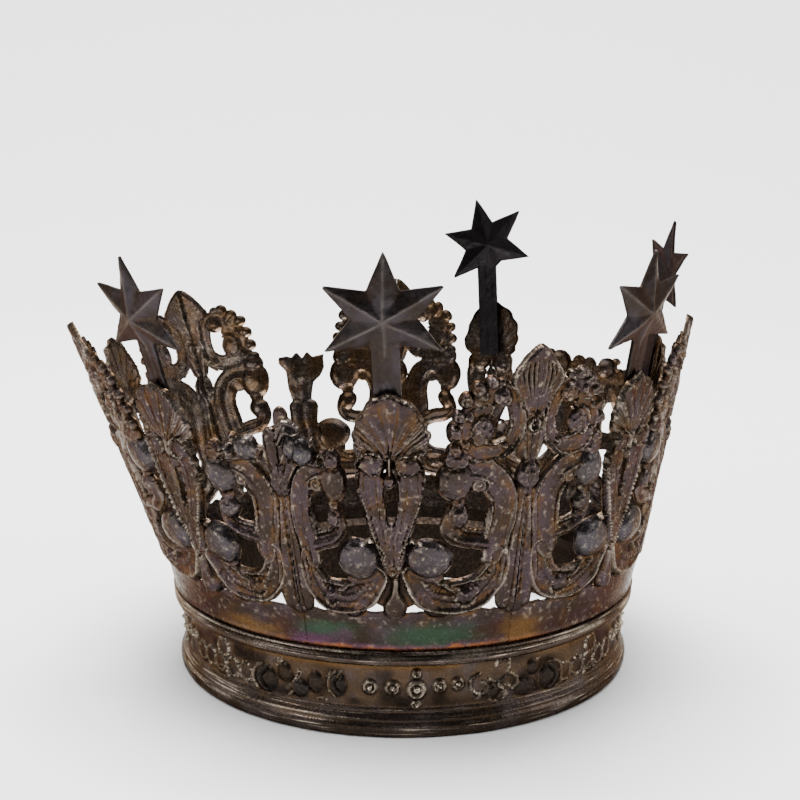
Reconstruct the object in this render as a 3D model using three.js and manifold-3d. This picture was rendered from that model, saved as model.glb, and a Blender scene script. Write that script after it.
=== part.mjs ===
// A silver crown for a statue: a moulded band, seven pierced sheets standing on it, and the stars
// soldered inside them. Millimetres, +Z up, the front towards -Y, the origin in the middle underneath.

import * as THREE from 'three';
import { mergeVertices } from 'three/addons/utils/BufferGeometryUtils.js';
import { TessellateModifier } from 'three/addons/modifiers/TessellateModifier.js';
import Module from 'manifold-3d';

const wasm = await Module();
wasm.setup();

// Driving dimensions

// The band that the crown stands on, from its foot up.
const BAND_RADIUS = 75;
const BAND_WALL = 1.2;
const FOOT_TORUS_HEIGHT = 5;
const FOOT_STEP_HEIGHT = 3.2;
const FRIEZE_DEPTH = 2.2;
const FRIEZE_HEIGHT = 14.4;
const TOP_TORUS_HEIGHT = 3.4;
const TOP_TORUS_STAND = 3.8;
const ROLL_HEIGHT = 1.6;
const ROLL_STAND = 0.3;
const TORUS_ROUND = 0.3;
const FOOT_BEVEL = 1.3;
const TOP_BEVEL = 0.8;

// The seven sheets of the gallery, measured along their slope from the collar's fold.
const COLLAR_HEIGHT = 8;
const COLLAR_FLARE = 1.8;
const COLLAR_RIM = 3.6;
const COLLAR_SETBACK = 0.4;
const SEAT_LIP = 0.6;
const SHEET = 1.2;
const CHASED_RIM = 1.7;
const GALLERY_SLANT = 82.7;
const SEAM_GAP = 0.3;

// How the gallery leans out: in front and behind, more at both sides, and skewed to one side.
// Its rim is shifted to the left, and in front and behind by only a share of that.
const LEAN = 0.2276;
const SIDE_LEAN = 0.0327;
const SKEW_LEAN = 0.047;
const RIM_SHIFT = 4;
const FRONT_SHIFT = 0.25;
const RIM_TILT = 0.027;

// Stars with their stems.
const STAR_RADIUS = 18.6;
const STAR_NOTCH = 8.8;
const STAR_EDGE = 0.8;
const STAR_RIDGE = 3;
const STEM_WIDTH = 7.4;
const STEM_THICKNESS = 1.1;
const STEM_LENGTH = 39;
const STEM_FOOT = 51.5;
const STAR_GAP = 0.6;

// The flat drawing of one sheet was made for this lean and up to this height.
const DRAWN_LEAN = 0.28;
const DRAWN_HEIGHT = 87.4;
const SHEET_COUNT = 7;

// Where the hand-made parts really stand round the ring, in degrees from the front to the right:
// the middle line of each sheet, and the seam on its right-hand side.
const MIDDLES = [-2.1, 48.8, 101.5, 156.2, 206, 259, 314.5];
const SEAMS = [23.3, 75.5, 128.5, 180.5, 232.5, 285.5, 338.2];

// Facets
const RING_FACETS = 28;
const COLLAR_FACETS = 5;
const LONGEST_EDGE = 24;

const TURN = Math.PI * 2;
const RADIANS = Math.PI / 180;

// Heights and radii that follow from the driving dimensions.
const FRIEZE_FOOT = FOOT_TORUS_HEIGHT + FOOT_STEP_HEIGHT;
const FRIEZE_TOP = FRIEZE_FOOT + FRIEZE_HEIGHT;
const BAND_TOP = FRIEZE_TOP + TOP_TORUS_HEIGHT + ROLL_HEIGHT;
const FRIEZE_RADIUS = BAND_RADIUS - FRIEZE_DEPTH;
const TOP_RADIUS = FRIEZE_RADIUS + TOP_TORUS_STAND;
const FOLD_RADIUS = TOP_RADIUS - COLLAR_SETBACK + COLLAR_FLARE;
const FOLD_HEIGHT = BAND_TOP + SEAM_GAP + COLLAR_HEIGHT;
const HALF_PITCH = Math.PI / SHEET_COUNT;

function silver(color, roughness) {
  return new THREE.MeshStandardMaterial({ color, roughness, metalness: 1 });
}

const BAND_SILVER = silver(0x4a403a, 0.42);
const GALLERY_SILVER = silver(0x544b47, 0.38);
const STAR_SILVER = silver(0x3d3b3c, 0.45);

// Solids: turning three.js geometry into closed bodies and back, joining and cutting

function toSolid(geometry) {
  const bare = geometry.clone();
  bare.deleteAttribute('normal');
  bare.deleteAttribute('uv');
  const merged = mergeVertices(bare, 1e-4);
  const index = merged.index.array;
  const kept = [];
  for (let i = 0; i < index.length; i += 3) {
    const [a, b, c] = [index[i], index[i + 1], index[i + 2]];
    if (a !== b && b !== c && c !== a) kept.push(a, b, c);
  }
  const vertProperties = new Float32Array(merged.attributes.position.array);
  return new wasm.Manifold(new wasm.Mesh({ numProp: 3, vertProperties, triVerts: new Uint32Array(kept) }));
}

function toGeometry(solid) {
  const mesh = solid.getMesh();
  const points = new Float32Array(mesh.numVert * 3);
  for (let i = 0; i < mesh.numVert; i += 1) {
    for (let k = 0; k < 3; k += 1) points[3 * i + k] = mesh.vertProperties[mesh.numProp * i + k];
  }
  const geometry = new THREE.BufferGeometry();
  geometry.setAttribute('position', new THREE.BufferAttribute(points, 3));
  geometry.setIndex(Array.from(mesh.triVerts));
  return geometry;
}

function joined(geometries) {
  return geometries.map(toSolid).reduce((whole, next) => whole.add(next));
}

// Moves every corner of a geometry to where the function puts it.
function reshaped(geometry, move) {
  const position = geometry.attributes.position;
  const point = new THREE.Vector3();
  for (let i = 0; i < position.count; i += 1) {
    point.fromBufferAttribute(position, i);
    move(point);
    position.setXYZ(i, point.x, point.y, point.z);
  }
  return geometry;
}

function mirrored(geometry) {
  const copy = (geometry.index ? geometry.toNonIndexed() : geometry.clone()).scale(-1, 1, 1);
  const position = copy.attributes.position;
  const kept = new THREE.Vector3();
  const other = new THREE.Vector3();
  for (let i = 0; i < position.count; i += 3) {
    kept.fromBufferAttribute(position, i + 1);
    other.fromBufferAttribute(position, i + 2);
    position.setXYZ(i + 1, other.x, other.y, other.z);
    position.setXYZ(i + 2, kept.x, kept.y, kept.z);
  }
  return copy;
}

// The value at a share of the way along a row of evenly spaced values.
function along(values, share) {
  const place = Math.min(Math.max(share, 0), 1) * (values.length - 1);
  const step = Math.min(Math.floor(place), values.length - 2);
  return values[step] + (values[step + 1] - values[step]) * (place - step);
}

// Ornament in the flat: x across, y up the sheet, z out of its back

// A strap along a curve. Widths are spread along it, and heights across it.
function strap(points, widths, heights, steps) {
  const path = new THREE.SplineCurve(points.map(([x, y]) => new THREE.Vector2(x, y)));
  const box = new THREE.BoxGeometry(1, 1, 1, heights.length - 1, steps, 1);
  return reshaped(box, (point) => {
    const share = point.y + 0.5;
    const middle = path.getPoint(share);
    const ahead = path.getTangent(share);
    const offset = point.x * along(widths, share);
    const height = point.z > 0 ? along(heights, point.x + 0.5) : 0;
    point.set(middle.x + ahead.y * offset, middle.y - ahead.x * offset, height);
  });
}

// A boss: a round form on the sheet, wider or taller as asked.
const DOME = [[0, 0], [1, 0], [0.7, 0.8], [0, 1]];

function boss(x, y, halfWidth, halfHeight, rise, sides = 6) {
  const lathe = new THREE.LatheGeometry(DOME.map(([r, h]) => new THREE.Vector2(r, h)), sides);
  return lathe.rotateX(Math.PI / 2).scale(halfWidth, halfHeight, rise).translate(x, y, 0);
}

// A ribbed shell that opens upwards from its pole. The reach of its spokes is given from the top
// to the lowest one, the same on both sides, and every second spoke is a rib.
function shell(x, y, reach, spread, rise) {
  const spokes = 2 * reach.length - 1;
  const profile = [[0, 0], [1, 0], [1, 0.6], [0, 1]].map(([r, h]) => new THREE.Vector2(r, h));
  const lathe = new THREE.LatheGeometry(profile, spokes).rotateX(Math.PI / 2);
  return reshaped(lathe, (point) => {
    const share = Math.hypot(point.x, point.y);
    const spoke = Math.round((Math.atan2(point.x, -point.y) / TURN) * spokes + spokes) % spokes;
    const place = 1 - (2 * spoke) / (spokes - 1);
    const length = share * along(reach, Math.abs(place));
    const rib = spoke % 2 === 0 || share < 0.01 ? 1 : 0.55;
    const angle = place * spread;
    point.set(x + length * Math.sin(angle), y + length * Math.cos(angle), point.z * rib * rise);
  });
}

// The flat drawing's own cone: straight up the drawing is up the cone, and across it is round it.
const DRAWN_SINE = Math.sin(Math.atan(DRAWN_LEAN));
const DRAWN_FOLD = 78;
const APEX = DRAWN_FOLD / DRAWN_SINE;
const HALF_TURN = HALF_PITCH * DRAWN_SINE;

// Turns a form drawn about a crest's line, left of it, to its place right of the sheet's middle.
function onCrest(geometry) {
  return geometry.translate(0, APEX, 0).rotateZ(-HALF_TURN).translate(0, -APEX, 0);
}

// Cross-sections of straps, as heights across them: a gutter between two rims,
// a slope down from one rim, a ridge, a flat.
const GUTTER = [SHEET + CHASED_RIM, SHEET + 0.3, SHEET + CHASED_RIM];
const BEVEL = [SHEET + CHASED_RIM, SHEET + 0.5];
const RIDGE = [0, SHEET + CHASED_RIM, 0];
const FLAT = [SHEET + 0.2, SHEET + 0.2];

// Forms of the sheet's middle
function footDrop() {
  return [strap([[0, 2.6], [0, 8], [0, 20]], [6.4, 7.6, 3.4], RIDGE, 2)];
}

function lyreArm() {
  const line = [[1.5, 18], [3.1, 29], [5.1, 40], [5.6, 46.5], [4.6, 55.4]];
  return [strap(line, [2.4, 5.4, 7.8, 7.8, 7], GUTTER, 3)];
}

// What is left of an arm where the lyre broke.
function brokenArm() {
  return [strap([[1.5, 18], [2.6, 26], [3.4, 34]], [2.4, 5, 6.4], GUTTER, 2)];
}

function middleShell(growth) {
  const reach = [20.4, 18.8, 13.8, 11.6, 9.4].map((length, k) => length + growth * (1 - k / 4));
  return [shell(0, 54.6, reach, 1.8, 3.4)];
}

// What is left where a star, its shell and the lyre's top broke away: a bent stub.
function brokenStub() {
  return [strap([[0, 31], [0.4, 39], [-1.2, 48], [-4, 56.5]], [7, 8, 8.6, 11.5], FLAT, 3)];
}

// Forms beside a crest's line, drawn left of it
function fluting() {
  return [strap([[0, 2], [0, 20], [0, 42]], [11.6, 8.6, 5.6], GUTTER, 1)];
}

function lowerScroll() {
  const line = [[-6.6, 23], [-7.4, 17], [-11.5, 10.6], [-18.4, 8.2], [-26, 9.4], [-31, 15.5]];
  return [strap(line, [4, 7, 9.6, 10.2, 9.8, 7.6], GUTTER, 5), boss(-27.2, 21, 7.4, 7.6, 5.2)];
}

function upperScroll() {
  const band = [[-8.4, 25.5], [-7.2, 33], [-6.8, 40], [-9.4, 45.6], [-17, 47]];
  const hook = [[-10.6, 27.4], [-14.4, 27], [-18.4, 28], [-21.2, 31.4], [-20, 36.4]];
  return [
    strap(band, [6, 8.2, 8.8, 8.6, 8], BEVEL, 3),
    boss(-22, 44.6, 6.8, 7.2, 5),
    strap(hook, [5.6, 5.4, 5.8, 6.6, 7], RIDGE, 3),
  ];
}

function crestRing() {
  const inside = [[-12.6, 75.4], [-7.8, 70.6], [-6.4, 64], [-8.6, 57.4]];
  const outside = [[-15, 54.2], [-21, 57.6], [-21.6, 66], [-17, 72.4]];
  return [strap([...inside, ...outside], [4, 6, 5.6, 6.2, 7.4, 9, 9.4, 9], RIDGE, 7)];
}

// The bud, the trunk and the pointed shell on a crest's own line, one above the other.
function crestAxis() {
  const line = [[0, 41], [0, 57], [0, 72], [0, DRAWN_HEIGHT]];
  return [strap(line, [2, 9.4, 6, 12.6, 9.4, 17, 14.6, 0.8], RIDGE, 7)];
}

// What is left of a crest that broke off over its upper scrolls.
function crestRemains(rise) {
  return [
    boss(0, 47, 4.6, 6, 3.6),
    strap([[0, 46], [-5, 53], [-10.4, 55], [-18.6, 52]], [6, 7, 5.6, 5], FLAT, 3),
    boss(-10.2, 55, 5.6, 4.8, 4.6),
    boss(-18.8, 53.8, 2.8, 2.8, 3),
    strap([[-1.5, 52], [-2.4, 56], [-3.4, 60 + rise]], [8, 8, 6], FLAT, 2),
  ];
}

const LOST = 'lost';
const WHOLE = { crest: 'whole' };
const BROKEN = { crest: 'remains', rise: 5 };
const GONE = { crest: 'remains', rise: -2 };

// One half of a sheet, from its middle to the seam on its right, without the middle's own forms.
function halfSheet(state) {
  const beside = [...fluting(), ...lowerScroll(), ...upperScroll()];
  if (state.crest === 'whole') beside.push(...crestRing(), ...crestAxis());
  else beside.push(...crestRemains(state.rise));
  return beside.map(onCrest);
}

// How far the collar's strip and the cutting wedge are drawn past the sheet they belong to.
const OVERRUN = 1.2;

// The plain collar, a strip that follows a ring of the cone.
function collarPlate() {
  const strip = new THREE.BoxGeometry(1, COLLAR_RIM + COLLAR_HEIGHT, SHEET, COLLAR_FACETS, 1, 1);
  return reshaped(strip.translate(0, (COLLAR_RIM - COLLAR_HEIGHT) / 2, SHEET / 2), (point) => {
    const turned = point.x * 2 * OVERRUN * HALF_TURN;
    const reach = APEX + point.y;
    point.set(reach * Math.sin(turned), reach * Math.cos(turned) - APEX, point.z);
  });
}

// The wedge of the drawing between a sheet's two seams. A squeezed half gets its gap widened, so
// that it is the same once it is bent to its place.
function wedge(leftGap, rightGap) {
  const top = DRAWN_HEIGHT * OVERRUN;
  const foot = -COLLAR_HEIGHT * OVERRUN;
  const depth = SHEET + STAR_RADIUS;
  const edge = (y, gap) => (y + APEX) * Math.tan(HALF_TURN) - gap / Math.cos(HALF_TURN);
  const outline = new THREE.Shape([
    new THREE.Vector2(-edge(foot, leftGap), foot),
    new THREE.Vector2(edge(foot, rightGap), foot),
    new THREE.Vector2(edge(top, rightGap), top),
    new THREE.Vector2(-edge(top, leftGap), top),
  ]);
  const cutter = new THREE.ExtrudeGeometry(outline, { depth, bevelEnabled: false });
  return cutter.translate(0, 0, -SHEET);
}

// Bending the flat drawing to the crown

// Round the ring, the middle of a sheet keeps its width, and what lies past it is stretched or
// squeezed so that the sheet ends at its seam.
const UNBENT = 0.13;

function bentAzimuth(nominal, sheet) {
  const side = nominal < 0 ? sheet.leftHalf : sheet.rightHalf;
  const past = Math.max(0, Math.abs(nominal) - UNBENT);
  const stretch = (side - UNBENT) / (HALF_PITCH - UNBENT);
  const turned = Math.min(Math.abs(nominal), UNBENT) + past * stretch;
  return sheet.middle + Math.sign(nominal) * turned;
}

function slopeAt(azimuth) {
  const lean = LEAN + SIDE_LEAN * Math.sin(azimuth) ** 2 - SKEW_LEAN * Math.sin(azimuth);
  return Math.atan(lean);
}

// The point of the crown at an azimuth, a slant height over the collar's fold and a depth
// measured out of the sheet's back.
function onCrown(azimuth, slant, depth) {
  const above = Math.max(slant, 0);
  const below = Math.min(slant, 0);
  const slope = slant > 0 ? slopeAt(azimuth) : Math.atan(COLLAR_FLARE / COLLAR_HEIGHT);
  const out = depth - SHEET;
  const radius = FOLD_RADIUS + above * Math.sin(slope) + (below * COLLAR_FLARE) / COLLAR_HEIGHT
    + out * Math.cos(slope);
  const height = FOLD_HEIGHT + above * Math.cos(slope) + below - (slant > 0 ? out * Math.sin(slope) : 0);
  const share = FRONT_SHIFT + (1 - FRONT_SHIFT) * Math.sin(azimuth) ** 2;
  const shift = (RIM_SHIFT * share * above) / GALLERY_SLANT;
  return new THREE.Vector3(radius * Math.sin(azimuth) - shift, -radius * Math.cos(azimuth), height);
}

function slantScale(azimuth) {
  return (GALLERY_SLANT / DRAWN_HEIGHT) * (1 + RIM_TILT * Math.cos(azimuth));
}

function bent(geometry, sheet) {
  return reshaped(geometry, (point) => {
    const drawn = Math.hypot(point.x, point.y + APEX);
    const azimuth = bentAzimuth(Math.atan2(point.x, point.y + APEX) / DRAWN_SINE, sheet);
    const slant = drawn - APEX;
    point.copy(onCrown(azimuth, slant > 0 ? slant * slantScale(azimuth) : slant, point.z));
  });
}

// The pieces

const NAMES = ['front', 'right', 'back_right', 'back', 'back_left', 'left', 'front_left'];

function sheetPlace(index) {
  const middle = MIDDLES[index] * RADIANS;
  const rightSeam = SEAMS[index] * RADIANS;
  const leftSeam = SEAMS[(index + SHEET_COUNT - 1) % SHEET_COUNT] * RADIANS;
  const leftHalf = (middle - leftSeam + TURN) % TURN;
  return { middle, leftHalf, rightHalf: rightSeam - middle };
}

function galleryMesh(index, leftState, rightState, shellGrowth) {
  const sheet = sheetPlace(index);
  const gap = (half) => (0.5 * SEAM_GAP * (HALF_PITCH - UNBENT)) / (half - UNBENT);
  const lost = shellGrowth === LOST;
  const arm = lost ? brokenArm() : lyreArm();
  const forms = [collarPlate(), ...footDrop(), ...(lost ? brokenStub() : middleShell(shellGrowth))];
  forms.push(...arm, ...arm.map(mirrored));
  forms.push(...halfSheet(rightState), ...halfSheet(leftState).map(mirrored));
  const whole = toSolid(toGeometry(joined(forms)));
  const cut = whole.intersect(toSolid(wedge(gap(sheet.leftHalf), gap(sheet.rightHalf))));
  const fine = new TessellateModifier(LONGEST_EDGE, 12).modify(toGeometry(cut));
  const mesh = new THREE.Mesh(mergeVertices(bent(fine, sheet), 1e-4), GALLERY_SILVER);
  mesh.name = `segment_${NAMES[index]}`;
  return mesh;
}

function bandProfile() {
  const foot = FOOT_TORUS_HEIGHT;
  const step = BAND_RADIUS - FRIEZE_DEPTH / 2;
  const inner = FRIEZE_RADIUS - BAND_WALL;
  const torus = FRIEZE_TOP + TOP_TORUS_HEIGHT;
  const seat = FOLD_RADIUS - COLLAR_FLARE - SHEET - SEAT_LIP;
  return [
    [inner, 0],
    [BAND_RADIUS - FOOT_BEVEL, 0],
    [BAND_RADIUS - TORUS_ROUND, foot * 0.2],
    [BAND_RADIUS, foot * 0.5],
    [BAND_RADIUS - TORUS_ROUND, foot * 0.8],
    [step - TORUS_ROUND, foot],
    [step, foot + FOOT_STEP_HEIGHT * 0.6],
    [FRIEZE_RADIUS, FRIEZE_FOOT],
    [FRIEZE_RADIUS, FRIEZE_TOP],
    [TOP_RADIUS - TOP_BEVEL, FRIEZE_TOP + TOP_TORUS_HEIGHT * 0.1],
    [TOP_RADIUS, FRIEZE_TOP + TOP_TORUS_HEIGHT * 0.5],
    [TOP_RADIUS - TOP_BEVEL, torus],
    [TOP_RADIUS + ROLL_STAND, torus + ROLL_HEIGHT * 0.5],
    [TOP_RADIUS, BAND_TOP],
    [seat, BAND_TOP],
    [seat, FRIEZE_TOP + TOP_TORUS_HEIGHT * 0.3],
    [inner, FRIEZE_TOP - BAND_WALL],
    [inner, 0],
  ].map(([radius, height]) => new THREE.Vector2(radius, height));
}

function bandMesh() {
  const ring = new THREE.LatheGeometry(bandProfile(), RING_FACETS).rotateX(Math.PI / 2);
  const mesh = new THREE.Mesh(toGeometry(toSolid(ring)), BAND_SILVER);
  mesh.name = 'base_band';
  return mesh;
}

// A six-pointed star with a ridge along each arm, its stem in place of the lowest arm. It stands
// in the XZ plane with its back at y = 0 and the stem's foot at the origin. It may sit higher on
// the stem than usual, and be turned on it.
function starGeometry(lift, spin) {
  const points = 12;
  const length = STEM_LENGTH + lift;
  const disc = new THREE.CylinderGeometry(1, 1, STAR_EDGE, points, 1);
  reshaped(disc, (point) => {
    const radius = Math.hypot(point.x, point.z);
    const corner = Math.round(((Math.atan2(point.x, point.z) / TURN + 1) % 1) * points);
    const reach = corner % 2 === 0 && corner % points !== 0 ? STAR_RADIUS : STAR_NOTCH;
    const ridge = radius < 0.01 && point.y > 0 ? STAR_RIDGE : 0;
    point.set(point.x * reach, point.y + STAR_EDGE / 2 + ridge, point.z * reach);
  });
  const star = disc.rotateX(Math.PI).rotateY(spin * RADIANS).translate(0, 0, length);
  const stem = new THREE.BoxGeometry(STEM_WIDTH, STEM_THICKNESS, length)
    .translate(0, -STEM_THICKNESS / 2, length / 2);
  return toGeometry(joined([star, stem]));
}

// A frame that lies on the back of a sheet's middle line: x round the ring, z up the slope.
function standingFrame(azimuth, slant, depth) {
  const foot = onCrown(azimuth, slant, depth);
  const up = onCrown(azimuth, GALLERY_SLANT, depth).sub(foot).normalize();
  const inward = new THREE.Vector3(-Math.sin(azimuth), Math.cos(azimuth), 0);
  const across = new THREE.Vector3().crossVectors(inward, up).normalize();
  inward.crossVectors(up, across);
  const frame = new THREE.Group();
  frame.quaternion.setFromRotationMatrix(new THREE.Matrix4().makeBasis(across, inward, up));
  frame.position.copy(foot);
  return frame;
}

function starOnStem(index, roll, spin, lift) {
  const mesh = new THREE.Mesh(starGeometry(lift, spin), STAR_SILVER);
  mesh.name = `star_${NAMES[index]}`;
  mesh.rotation.y = roll * RADIANS;
  const depth = -STAR_GAP - STEM_THICKNESS;
  const frame = standingFrame(MIDDLES[index] * RADIANS, STEM_FOOT, depth);
  frame.add(mesh);
  return frame;
}

// The state of the crest on each side of a sheet, and how much taller than usual its shell is.
const SHEETS = [
  [BROKEN, WHOLE, 0],
  [WHOLE, WHOLE, 0],
  [WHOLE, GONE, 0],
  [GONE, WHOLE, 4],
  [WHOLE, WHOLE, LOST],
  [WHOLE, WHOLE, 0],
  [WHOLE, BROKEN, 0],
];

// The stars that are left: the sheet that each stands on, the degrees that its stem leans and
// that it is turned on the stem, and how much higher than usual it sits.
const STARS = [
  [0, -1.5, 1.5, 2],
  [1, 0, 0, -1.5],
  [2, 0, -4, 0],
  [3, 6, 11, 3.5],
  [6, 0.5, -1, 0],
];

const ring = new THREE.Group();
ring.add(bandMesh());
SHEETS.forEach((state, index) => ring.add(galleryMesh(index, ...state)));
STARS.forEach((place) => ring.add(starOnStem(...place)));

// The origin is under the middle of the whole crown, whose rim isn't quite over its band.
const middle = new THREE.Box3().setFromObject(ring, true).getCenter(new THREE.Vector3());
ring.position.set(-middle.x, -middle.y, 0);

const crown = new THREE.Group();
crown.add(ring);

export default crown;
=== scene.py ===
"""A tarnished silver crown for a statue: a moulded band, pierced and chased sheets, and stars."""

import logging
import math
from dataclasses import dataclass, field
from enum import Enum
from typing import Callable, Iterator, Sequence

import bpy
import numpy as np
from mathutils import Euler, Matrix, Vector


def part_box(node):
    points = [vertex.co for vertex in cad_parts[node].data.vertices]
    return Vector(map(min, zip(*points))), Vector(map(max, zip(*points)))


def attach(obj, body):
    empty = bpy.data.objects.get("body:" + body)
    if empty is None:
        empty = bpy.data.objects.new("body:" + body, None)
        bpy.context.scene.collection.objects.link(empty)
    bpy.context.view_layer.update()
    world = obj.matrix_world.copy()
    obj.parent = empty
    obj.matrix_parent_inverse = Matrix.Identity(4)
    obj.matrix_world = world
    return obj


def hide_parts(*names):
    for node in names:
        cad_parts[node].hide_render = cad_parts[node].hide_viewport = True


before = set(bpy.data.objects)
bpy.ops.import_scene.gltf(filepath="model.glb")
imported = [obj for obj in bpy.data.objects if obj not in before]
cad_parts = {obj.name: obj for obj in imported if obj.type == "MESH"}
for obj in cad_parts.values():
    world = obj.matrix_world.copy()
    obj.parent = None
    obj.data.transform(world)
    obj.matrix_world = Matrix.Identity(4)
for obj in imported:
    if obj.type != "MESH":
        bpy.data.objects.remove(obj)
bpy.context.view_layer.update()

LOG = logging.getLogger("crown")

MM = 0.001
TURN = 2 * math.pi
FAR = 1e9

# The noise repeats after this many knots
KNOTS = 64
# Where drawings lie in the noise: sheets and stars, small forms, and angles round the crown in degrees
DRAWN_AT, FORM_AT, ROUND_AT = 90.0, 50.0, 400.0

Array = np.ndarray
Points = Sequence[tuple[float, float]]
Colour = tuple[float, float, float]
Section = Callable[[Array, Array], Array]
Socket = bpy.types.NodeSocket


class Crest(Enum):
    """What is left of the crest beside a sheet's middle."""

    WHOLE = "whole"
    BROKEN = "broken"
    GONE = "gone"


# Small tools for numbers and drawings


def smooth(value: Array, low: float, high: float) -> Array:
    """Returns a soft step from 0 at low to 1 at high."""
    share = np.clip((value - low) / (high - low), 0.0, 1.0)
    return share * share * (3.0 - 2.0 * share)


def bump(value: Array, place: float, width: float) -> Array:
    """Returns a soft bump of height 1 round a place."""
    return np.exp(-((value - place) / width) ** 2)


def raised(value: Array, bumps: Sequence[tuple[float, float, float]]) -> Array:
    """Returns the sum of some bumps, each given by its height, place and width."""
    return sum((height * bump(value, place, width) for height, place, width in bumps), np.zeros(value.shape))


def value_noise(x: Array, y: Array, size: float, seed: int) -> Array:
    """Makes smooth noise between -1 and 1.

    Args:
        x: The points' first coordinate, in mm.
        y: Their second coordinate.
        size: The distance between the noise's knots, in mm.
        seed: Picks one of many such patterns.

    Returns:
        One value for each point.
    """
    lattice = np.random.default_rng(seed).uniform(-1.0, 1.0, (KNOTS, KNOTS))
    u, v = x / size, y / size
    i, j = np.floor(u).astype(int), np.floor(v).astype(int)
    s, t = u - i, v - j
    s, t = s * s * (3 - 2 * s), t * t * (3 - 2 * t)
    i, j, after, above = i % KNOTS, j % KNOTS, (i + 1) % KNOTS, (j + 1) % KNOTS
    low = lattice[i, j] * (1 - s) + lattice[after, j] * s
    high = lattice[i, above] * (1 - s) + lattice[after, above] * s
    return low * (1 - t) + high * t


def mottle(x: Array, y: Array, size: float, seed: int) -> Array:
    """Returns noise over a flat drawing."""
    return value_noise(x + DRAWN_AT, y + DRAWN_AT, size, seed)


def stipple(x: Array, y: Array, size: float, seed: int) -> Array:
    """Returns noise over a small form."""
    return value_noise(x + FORM_AT, y + FORM_AT, size, seed)


def raggedness(x: Array, size: float, seed: int, row: float = 0.0) -> Array:
    """Returns noise that changes only across a drawing, from one row of the pattern."""
    return value_noise(x + DRAWN_AT, np.full(x.shape, row), size, seed)


def spline(points: Points, steps: int = 10) -> Array:
    """Draws a smooth curve through points.

    Args:
        points: The points that the curve passes through.
        steps: How many pieces there are between two of them.

    Returns:
        The curve's points, one row each.
    """
    knots = np.array(points, dtype=float)
    padded = np.vstack([2 * knots[0] - knots[1], knots, 2 * knots[-1] - knots[-2]])
    rows = []
    for k in range(len(knots) - 1):
        a, b, c, d = padded[k:k + 4]
        t = np.linspace(0, 1, steps, endpoint=False)[:, None]
        rows.append(0.5 * (2 * b + (c - a) * t + (2 * a - 5 * b + 4 * c - d) * t * t
                           + (3 * b - a - 3 * c + d) * t ** 3))
    rows.append(knots[-1:])
    return np.vstack(rows)


def oval(x: float, y: float, wide: float, high: float, count: int) -> Points:
    """Draws a closed oval.

    Args:
        x: Its middle across the drawing.
        y: Its middle up it.
        wide: Half its width.
        high: Half its height.
        count: The number of its points, with the first one twice.

    Returns:
        The points.
    """
    return [(x + wide * math.cos(angle), y + high * math.sin(angle)) for angle in np.linspace(0, TURN, count)]


def stretches(curve: Array, px: Array, py: Array) -> Iterator[tuple]:
    """Goes along a curve of straight stretches and measures where points lie beside each.

    Args:
        curve: The curve's points, one row each.
        px: The points' first coordinate.
        py: Their second coordinate.

    Yields:
        The stretch's number and length, and for each point its share of the way along it, its distance
        from it, and a number with the sign of the side that it is on.
    """
    for k, ((ax, ay), (bx, by)) in enumerate(zip(curve[:-1], curve[1:])):
        dx, dy = bx - ax, by - ay
        length = math.hypot(dx, dy)
        share = np.clip(((px - ax) * dx + (py - ay) * dy) / length ** 2, 0, 1)
        away = np.hypot(px - ax - share * dx, py - ay - share * dy)
        yield k, length, share, away, (px - ax) * dy - (py - ay) * dx


def blurred(values: Array, rounds: int) -> Array:
    """Blurs a grid of values.

    Args:
        values: The grid.
        rounds: How many times each value is averaged with its neighbours.

    Returns:
        The blurred grid.
    """
    for _ in range(rounds):
        padded = np.pad(values, 1, mode="edge")
        values = (padded[:-2, 1:-1] + padded[2:, 1:-1] + padded[1:-1, :-2] + padded[1:-1, 2:]
                  + 2 * padded[1:-1, 1:-1]) / 6
    return values


# Cross-sections of chased straps: how high they stand at a place across, from -1 to 1


def ridge(rise: float) -> Section:
    """Returns a rounded ridge of the given rise."""
    return lambda u, s: rise * np.sqrt(np.clip(1 - u * u, 0, 1))


def wire(rise: float) -> Section:
    """Returns a round top that keeps its height out to its edges."""
    return lambda u, s: rise * np.sqrt(np.clip(1 - 0.8 * u * u, 0, 1))


def flutes(count: int, rise: float, floor: float) -> Section:
    """Returns a row of parallel ribs with hollows between them.

    Args:
        count: The number of ribs.
        rise: How high the ribs stand.
        floor: The share of that height in the hollows.

    Returns:
        The cross-section.
    """
    half = (1 - floor) / 2
    return lambda u, s: rise * (floor + half - half * np.cos((u + 1) * math.pi * count)) * (1 - 0.25 * u * u)


def gutter(rise: float, left: float, right: float, rope: float = 0.0) -> Section:
    """Returns a hollow between two raised rims, which can be twisted like rope.

    Args:
        rise: How high the rims stand.
        left: The share of the rise on the left-hand rim.
        right: The share on the right-hand one.
        rope: How deep the twist is cut into them, from 0 to 1.

    Returns:
        The cross-section.
    """
    place, thick, pitch, slant, floor = 0.8, 0.17, 1.25, 1.2, 0.28

    def section(u: Array, s: Array) -> Array:
        """Returns the height at places across and along."""
        twist = 1 - rope * (0.5 + 0.5 * np.sin(TURN * (s / pitch + slant * u)))
        rims = (left * bump(u, -place, thick) + right * bump(u, place, thick)) * twist
        return rise * (rims + floor * (1 - u * u))
    return section


def rolled(rise: float, lines: int = 2) -> Section:
    """Returns a roll between a lip and a channel, with fine lines cut beside its left-hand edge.

    Args:
        rise: How high it stands.
        lines: The number of lines.

    Returns:
        The cross-section.
    """
    forms = ((0.65, -0.25, 0.42), (0.35, 0.86, 0.11), (0.15, -0.9, 0.08))
    cuts = [(0.2 / rise, 0.34 * k - 0.68, 0.085) for k in range(lines)]
    return lambda u, s: rise * (0.35 + raised(u, forms) - raised(u, cuts))


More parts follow.
